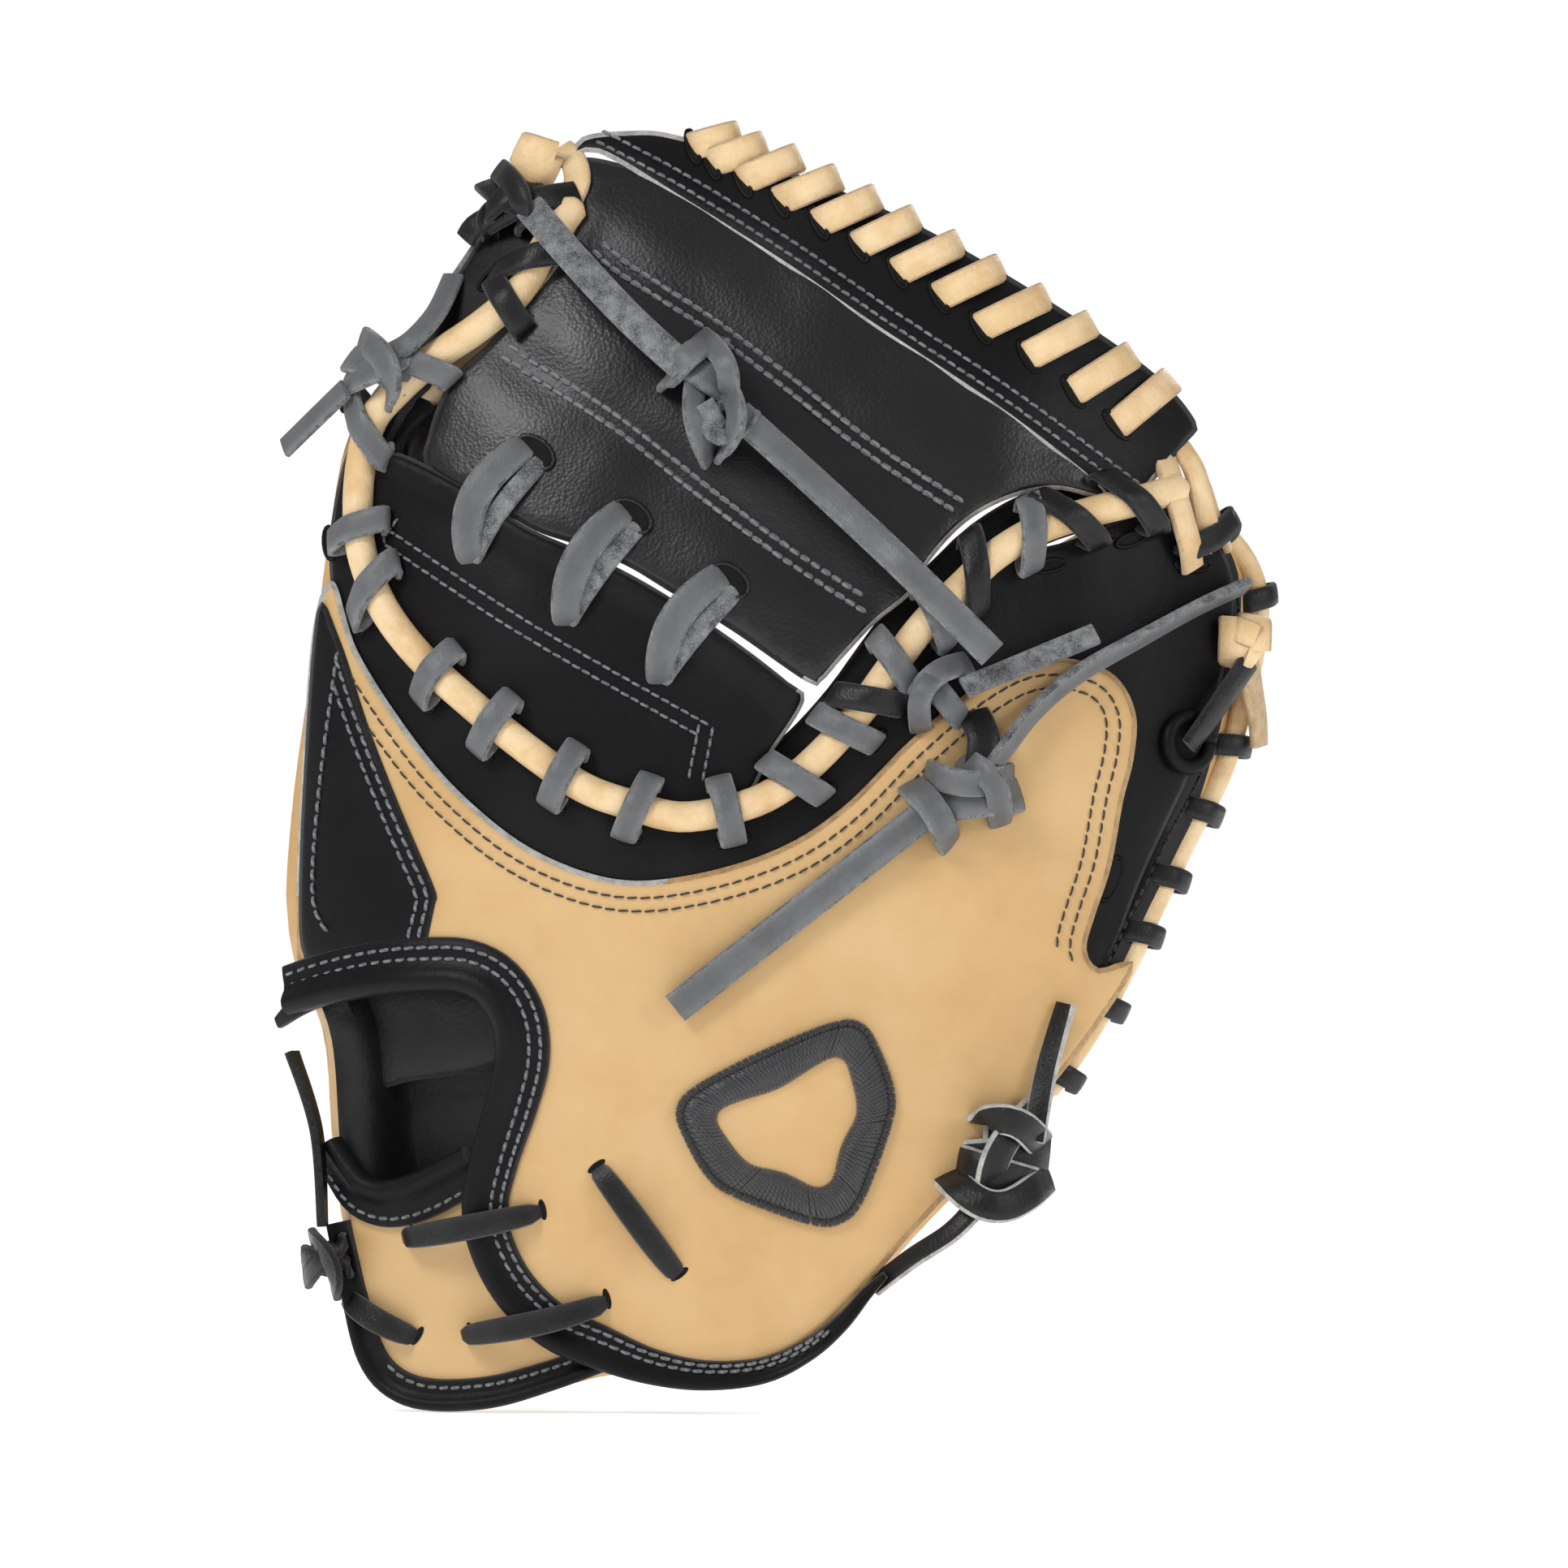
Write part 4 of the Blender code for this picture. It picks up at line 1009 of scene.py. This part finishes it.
def make_rolls():
    roll = smooth(RING, False, 2.5)
    strands("edge_roll_leather", [out(roll, ROLL_HEIGHT)], ROLL_RADIUS, CREAM, "edge_roll", sides=18,
            slot="cream_lace")
    inner = offset(smooth(RING[:22], False, 2.5), 6.0)[3:]
    strands("pocket_edge_roll", [out(inner, -7.0)], 3.3, CREAM, sides=14, slot="cream_lace")
    line = smooth(RING, False, 1.0)
    wraps = {
        "grey": [(-87, 252, 0.5), (-99, 238, -0.75), (-103, 213, 0.3), (-99, 199, 0.6), (-84, 178, 0.15),
                 (-70, 166, 0.1), (-53, 153, 0.12), (-35, 145.5, -0.12), (-14, 145, 0.0),
                 (3, 153, 0.35), (15, 165, 0.25), (26, 181, -0.35), (36, 193, -0.4), (59, 213, -0.5)],
        "black": [(-60, 278, 0.9), (-67, 268, -0.2), (20, 173, 0.5), (45, 202, -0.9), (68, 216, 0.75),
                  (84, 219, 0.8)],
    }
    nodes = {"grey": ["edge_lace"], "black": []}
    spots = []
    for kind, marks in wraps.items():
        strips = []
        for x, z, slant in marks:
            spot, along, tilt = nearest_on(line, (x, z))
            outward = np.array([along[1], -along[0]]) + slant * along
            strips.append(over_roll(spot, along, ROLL_HEIGHT, ROLL_RADIUS + 0.9, 6.4, slant, 1.75))
            spots.append((*(spot + outward * (ROLL_RADIUS * 2.0)), COLLAR[1] + 0.25, 3.6, 1.3, tilt))
        laces(kind + "_edge_lace", kind, strips, *nodes[kind])
    holes("edge_lace_holes", spots, BLACK)


RIM = [(106, 214), (112.5, 206), (115.5, 196), (114, 182), (110, 166), (105.5, 153), (99, 141),
       (93.5, 130), (88.5, 120), (83.5, 109.5), (78, 99), (71, 88), (63, 77)]


def make_rim():
    """The rolled welt of the little-finger side, its wraps, the corner's laces and the eyelet."""
    strands("rim_roll_leather", [out(smooth(RIM, False, 2.5), RIM_HEIGHT)], RIM_RADIUS, CREAM, "rim_roll",
            sides=14, slot="cream_lace")
    line = smooth(RIM, False, 1.0)
    strips = []
    for mark in ((107, 214), (114, 197), (107, 162), (100, 146), (91, 130), (85, 116), (77, 99), (66, 82)):
        spot, along, _ = nearest_on(line, mark)
        strips.append(over_roll(spot, along, RIM_HEIGHT, RIM_RADIUS + 0.6, 5.4, 0.15))
    laces("rim_wrap_lace", "black", strips, "rim_lace")
    stitches("rim_stitching", [row(RIM)[8:] - (5.2, 0)], COLLAR[1] + 0.2, BLACK_LACE, pitch=3.0)

    strips = [strand([(91.5, 233, 0), (94, 225, 5.5), (96.5, 216, 7), (98.3, 209.5, 6), (99, 204, 3)], 7.2),
              strand([(96, 234, 1), (99.5, 228, 4), (101.5, 220, 5), (102.5, 213, 4), (101, 209, 1)], 6.0,
                     twist=-35),
              strand([(97, 232, -1), (101.5, 225, 2), (104.5, 217, 3), (108, 209, 1)], 4.5, twist=30)]
    laces("corner_lace", "cream", strips)
    strips = [strand([(109, 216, 5), (105, 212, 6.5), (99, 209, 5), (96, 207, 1)], 6.0)]
    laces("corner_black_lace", "black", strips)
    holes("corner_holes", [(99.2, 205.0, 2.1, 3.8, 1.5, 0), (84, 211, 2.1, 3.4, 1.3, 20),
                           (64, 204.5, 2.1, 3.4, 1.3, 10)], BLACK)
    turn = np.linspace(0, 2 * math.pi, 33)
    eyelet = out(np.column_stack([98 + 5.0 * np.cos(turn), 162 + 6.0 * np.sin(turn)]), COLLAR[1] + 1.4)
    strands("rim_eyelet", [eyelet], 1.9, BLACK, sides=10, ends=1.0, slot="black_leather")
    holes("rim_eyelet_hole", [(98, 162, COLLAR[1] + 0.5, 4.6, 3.8, 70),
                              (79, 129, COLLAR[1] + 0.3, 5, 2, 70)], BLACK)


def bowed(low, high, height, bow):
    """A thick flat lace between two holes, bowed off the leather, narrower at its ends down in them."""
    t, flat, side = across(low, high, 17)
    points = lifted(flat, height - LACE_SINK + (bow + LACE_SINK) * arched(t, LACE_ARCH))
    return points, side, 6.2 * (0.45 + 0.55 * arched(t, 0.25)), 2.6


def make_whip_lace():
    lows = [(-22, 306.5), (-15.5, 303), (-6, 299), (3, 294), (12.5, 288.5), (22, 283), (31.5, 276.5),
            (41.5, 270.5), (51.5, 263), (63, 256), (74, 247.5), (84.5, 239.5)]
    tops = [(-11, 309.5), (-3.5, 306), (6, 302), (15.5, 297), (25, 292), (34.5, 287), (45, 281),
            (55, 275), (66, 268), (77, 261.5), (87, 254), (96.5, 248)]
    marks = [(-0.05, 1.0), (0.08, 4.4), (0.32, 6.2), (0.62, 6.8), (0.84, 6.0), (0.94, 3.6), (0.98, 0.0),
             (0.92, -4.5), (0.7, -6.5)]  # shares of the way from the hole to the edge, and heights
    strips, spots = [], []
    for number, (low, top) in enumerate(zip(lows, tops)):
        longer = min(number / 2, 1)
        low = np.array(low) + longer * np.array([-4.0, -0.8])
        top = np.array(top) + longer * np.array([-2.4, 2.0])
        path = smooth([[*(low + (top - low) * share), height] for share, height in marks], False, 1.2)
        side = across(low, top, len(path))[2]
        strips.append((out(path[:, :2], path[:, 2]), side, 7.4, LACE_THICK * 1.2))
        spots.append((*low, WEB_BAND[1] + 0.3, 3.9, 1.2, tilt_of(low, top) + 90))
    laces("whip_lace", "cream", strips, "web_top_lace")
    holes("whip_lace_holes", spots, BLACK)


def web_loop(low, high, shift, bow, lift, width):
    """A lace from one web panel to a hole of the other, bowed to its left and outwards; its upper end is
    shifted."""
    t, flat, side = across(low, high, 25)
    flat = flat + np.outer(t, shift) + side[:, [0, 2]] * (bow * arched(t ** 0.85))[:, None]
    points = lifted(flat, 0.2 + lift * arched(t, 0.5))
    lean = np.radians(12 * arched(t))[:, None]
    side = np.cross(tangents(points), normals(flat)) * np.cos(lean) - normals(flat) * np.sin(lean)
    return points, side, width * (0.72 + 0.28 * arched(t, 0.4)), LACE_THICK * 1.1


def make_cross_laces():
    loops = [((-74.5, 205), (-61, 233.5)), ((-52, 190), (-37.5, 218)), ((-29.5, 176), (-14, 202.5))]
    for number, loop in enumerate(loops, 1):
        name = f"web_loop_{number}"
        laces(name, "grey", [web_loop(*loop, (0, 0), 4.0, 7.0, 8.0)], f"web_cross_lace_{number}")
        laces(name + "_inner", "grey", [web_loop(*loop, (4.5, -2.5), 0.9, 4.2, 5.0)], cuts=RAW_FACE_CUTS)
    spots = [(x + 1.0, z - 1.6, WEB[1] + 1.5, 4.6, 3.0, -38) for _, (x, z) in loops]
    holes("web_loop_holes", spots, PEBBLED)

    seams = {  # node: each lace's holes, height and bow
        "strap_lace_upper": [((-89.5, 43), (-58, 49.5), 5.6, 3.6)],
        "strap_lace_lower": [((-75.5, 19.5), (-42.5, 28), 5.6, 3.6),
                             ((-104.5, 28), (-88.5, 18.5), 2.6, 3.0)],
        "heel_lace": [((-45, 60), (-25, 34), 5.0, 1.6)],
    }
    spots = []
    for node, runs in seams.items():
        laces(node + "_strip", "black", [bowed(*run) for run in runs], node)
        for low, high, _, _ in runs:
            for spot, strap_until in ((low, -60), (high, -80)):
                height = STRAP[1] if spot[0] < strap_until else SHELL[1]
                spots.append((*spot, height + 0.1, 0.9, 2.6, tilt_of(low, high)))
    holes("seam_lace_holes", spots)


def wound(centre, angle, length, radius, depth, turns, width, start):
    """A flat lace wound round a knot's core, as (points, sides, width, thickness)."""
    axis = np.array([math.cos(math.radians(angle)), 0, math.sin(math.radians(angle))])
    sideways = np.array([-axis[2], 0, axis[0]])
    t = np.linspace(0, turns * 2 * math.pi, int(26 * turns))
    ways = sideways * np.cos(t + start)[:, None], TOWARDS_VIEWER * np.sin(t + start)[:, None]
    points = centre + axis * ((t / t[-1] - 0.5) * length)[:, None] + radius * ways[0] + depth * ways[1]
    return points, np.cross(tangents(points), ways[0] + ways[1]), width, LACE_THICK


def crossing(start, end, height, width, bend, lean):
    """A lace laid over a knot, down at both ends and bent sideways in its plane."""
    t, flat, side = across(start, end, 9)
    flat = flat + side[:, [0, 2]] * (bend * arched(t))[:, None]
    route = np.column_stack([flat, 2 + (height - 2) * arched(t, 0.5)])
    return strand(route, width, start_twist=lean, thick=2.0)


CROSSINGS = {  # knot: kind, and each lace over it as start, end, height, width, bend, lean
    "web_tie_knot": ("grey", [
        ((-28, 248.5), (-16, 259), 16, 6.5, 1.5, 12),
        ((-20, 260), (-13.5, 243), 18, 5.5, 3.0, -20),
        ((-25, 254), (-13, 246), 13.5, 7.0, 0.0, 0),
        ((-21, 250), (-18, 230), 15.5, 5.5, -2.0, 30),
        ((-14.5, 249), (-15, 231), 16.5, 5.5, 3.5, -35)]),
    "finger_tie_knot": ("grey", [
        ((37, 147), (57, 149.5), 11.5, 9.0, 0.0, 10),
        ((34, 155), (55, 154), 14, 6.5, -2.5, -15),
        ((30, 152), (40, 137), 13, 7.0, 1.5, 10),
        ((43, 158), (52, 142), 16, 6.0, 3.5, -20)]),
    "side_tie_knot": ("grey", [
        ((31.5, 171), (44, 181), 11, 6.0, 2.5, 15),
        ((40, 180), (33, 165), 12.5, 5.5, -3.5, -25),
        ((34, 178), (43, 167), 9.5, 6.0, 0.0, 0)]),
    "heel_tie_knot": ("pale", [
        ((47, 71), (62, 65), 17, 7.5, 3.0, -10),
        ((59, 73), (49, 50), 14, 8.0, -3.0, 15),
        ((42, 61), (61, 55), 12.5, 9.0, 0.0, 0),
        ((39, 58), (63.5, 57), 17, 8.0, -7.0, 12),
        ((44, 60), (63, 61), 8, 13.0, 0.0, 0),
        ((54, 72), (53, 49), 7, 12.0, 0.0, 0)]),
    "wrist_tie_knot": ("black", [
        ((-115.5, 32), (-106, 41), 11, 5.5, 1.0, 10),
        ((-114, 42), (-108.5, 29), 13, 5.0, 2.0, -15),
        ((-116, 37), (-105.5, 35), 9, 6.5, 0.0, 0)]),
    "thumb_tie_knot": ("grey", [
        ((-106, 249), (-90.5, 255.5), 14, 7.5, 0.0, 10),
        ((-102, 259.5), (-95, 244), 17, 7.0, 3.0, -15),
        ((-105, 255), (-92, 248), 12, 7.5, 1.5, 15)]),
    "horn_top_knot": ("black", [
        ((-72.5, 289.5), (-60, 297), 10, 6.0, 1.5, 10),
        ((-69, 301), (-63, 287), 12, 6.0, 2.0, -20),
        ((-72, 297.5), (-61, 291), 8, 6.5, -1.0, 20),
        ((-70, 292), (-71, 284.5), 6, 4.5, -2.0, 30)]),
}
WINDINGS = {  # knot: centre, and for each winding: angle, length, radius, depth, turns, width, start
    "web_top_knot": ((-60, 303, 5), [(65, 5, 5.2, 4.4, 1.3, 8, 0.4)]),
    "rim_top_knot": ((111.5, 186.5, 6), [(-10, 6, 6.0, 4.4, 1.2, 8, 0.6),
                                         (60, 5, 4.4, 5.2, 1.0, 6.5, 2.0)]),
}


def make_knots():
    for name, (kind, runs) in CROSSINGS.items():
        laces(name + "_lace", kind, [crossing(*run) for run in runs], name)
    for name, ((x, z, lift), windings) in WINDINGS.items():
        centre = out((x, z), lift)[0]
        laces(name + "_lace", "cream", [wound(centre, *winding) for winding in windings], name)


TIES = [  # piece, kind, nodes it replaces, raw faces, and each lace's route, width and turns
    ("web_tie_lace", "grey", ["web_tie"], RAW_FACE_CUTS, [
        ([(-61.5, 291.5, 9), (-50, 278, 13), (-37, 264, 15), (-24, 252, 14)], 7.5, 0, 0, 2.2),
        ([(-20, 243, 15), (-15, 236, 13), (-10, 238, 12), (-8, 241, 11)], 7.0, 50)]),
    ("finger_tie_lace", "grey", ["finger_tie"], RAW_BACK_CUTS, [
        ([(112, 200, 5), (101, 195, 7), (88, 188, 8), (72, 179, 8.5), (61, 170, 9), (53, 160, 10),
          (47, 152, 10)], 5.5, -15, 55, 2.2)]),
    ("finger_tie_stub", "black", [], LACE_CUTS, [
        ([(45.5, 169, 4), (48, 163, 9), (47, 155, 10), (44, 150, 8)], 8.0, -20)]),
    ("heel_tie_lace", "pale", ["heel_tie"], LACE_CUTS, [
        ([(22, 31, 2), (31, 38, 7), (40, 44, 11), (46, 50, 12)], 5.5, 0, 40)]),
    ("thumb_tie_ends", "grey", [], LACE_CUTS, [
        ([(-106, 247.5, 12), (-113, 241, 11), (-121, 233.5, 10)], 5.5),
        ([(-95, 256, 12), (-90, 259, 12), (-84, 266, 8), (-80, 275, 2)], 5.5)]),
    ("thumb_tie_strand", "grey", [], RAW_FACE_CUTS, [
        ([(-93, 256, 2), (-86, 265, 0), (-79, 275, -2), (-73, 284, -3)], 4.0, 0, 30)]),
    ("web_top_strand", "cream", [], LACE_CUTS, [
        ([(-54, 306, 1), (-51, 303, 3), (-50, 298, 4), (-52, 293, 3)], 6.5)]),
    ("horn_top_strand", "black", [], LACE_CUTS, [
        ([(-72, 288, 5), (-64, 292, 8), (-56, 294, 8), (-50, 295, 5)], 7.0),
        ([(-70, 290, 6), (-75, 287, 6), (-77, 284, 4)], 6.0)]),
    ("rim_top_end", "cream", [], RAW_FACE_CUTS, [
        ([(112, 184, 7), (113.5, 176, 6), (115, 168, 4), (115.5, 161, 3)], 8.0, 20)]),
]


def make_ties():
    """The laces that lead to the knots, and the loose ends that aren't cords."""
    for name, kind, nodes, cuts, routes in TIES:
        laces(name, kind, [strand(*route) for route in routes], *nodes, cuts=cuts)


# ---------------------------------------------------------------- embroidery

def satin_band(outline, centre, inset, width, pitch, rise):
    """Threads across a band that runs inside an outline, each from its outer side towards the centre."""
    outer = offset(outline, inset, True)
    inner = centre + (outer - centre) * (1 - width / np.linalg.norm(outer - centre, axis=1))[:, None]
    count = int(np.linalg.norm(np.diff(outer, axis=0), axis=1).sum() / pitch)
    t = np.linspace(0, 1, 7)
    heights = SHELL[1] + 0.3 + rise * arched(t, 0.6)
    picks = [int(k * len(outer) / count) for k in range(count)]
    return [out(outer[i] + (inner[i] - outer[i]) * t[:, None], heights) for i in picks]


def make_patch():
    """A home plate outlined in satin stitch."""
    centre, tilt = np.array([4.0, 68.0]), math.radians(25)
    turn = np.array([[math.cos(tilt), math.sin(tilt)], [-math.sin(tilt), math.cos(tilt)]])
    plate = [(-18, 20), (0, 21), (18, 20), (24, 17), (25, 10), (24, 0), (20, -7), (7, -20), (0, -23),
             (-7, -20), (-20, -7), (-24, 0), (-25, 10), (-24, 17)]
    outline = counterclockwise(smooth(plate, True, 0.4) @ turn + centre)
    strands("patch_satin", satin_band(outline, centre, 0, 9, 0.6, 1.9), 0.42, SATIN, sides=5,
            slot="black_leather")
    strands("patch_border", satin_band(outline, centre, -0.9, 1.9, 0.55, 1.6), 0.36, BORDER, sides=5,
            slot="black_leather")


make_camera()
make_studio()
make_tails()
make_body()
make_welt()
make_pocket_side()
make_lining()
make_pads()
make_back()
make_opening()
make_web()
make_rolls()
make_rim()
make_whip_lace()
make_cross_laces()
make_knots()
make_ties()
make_patch()
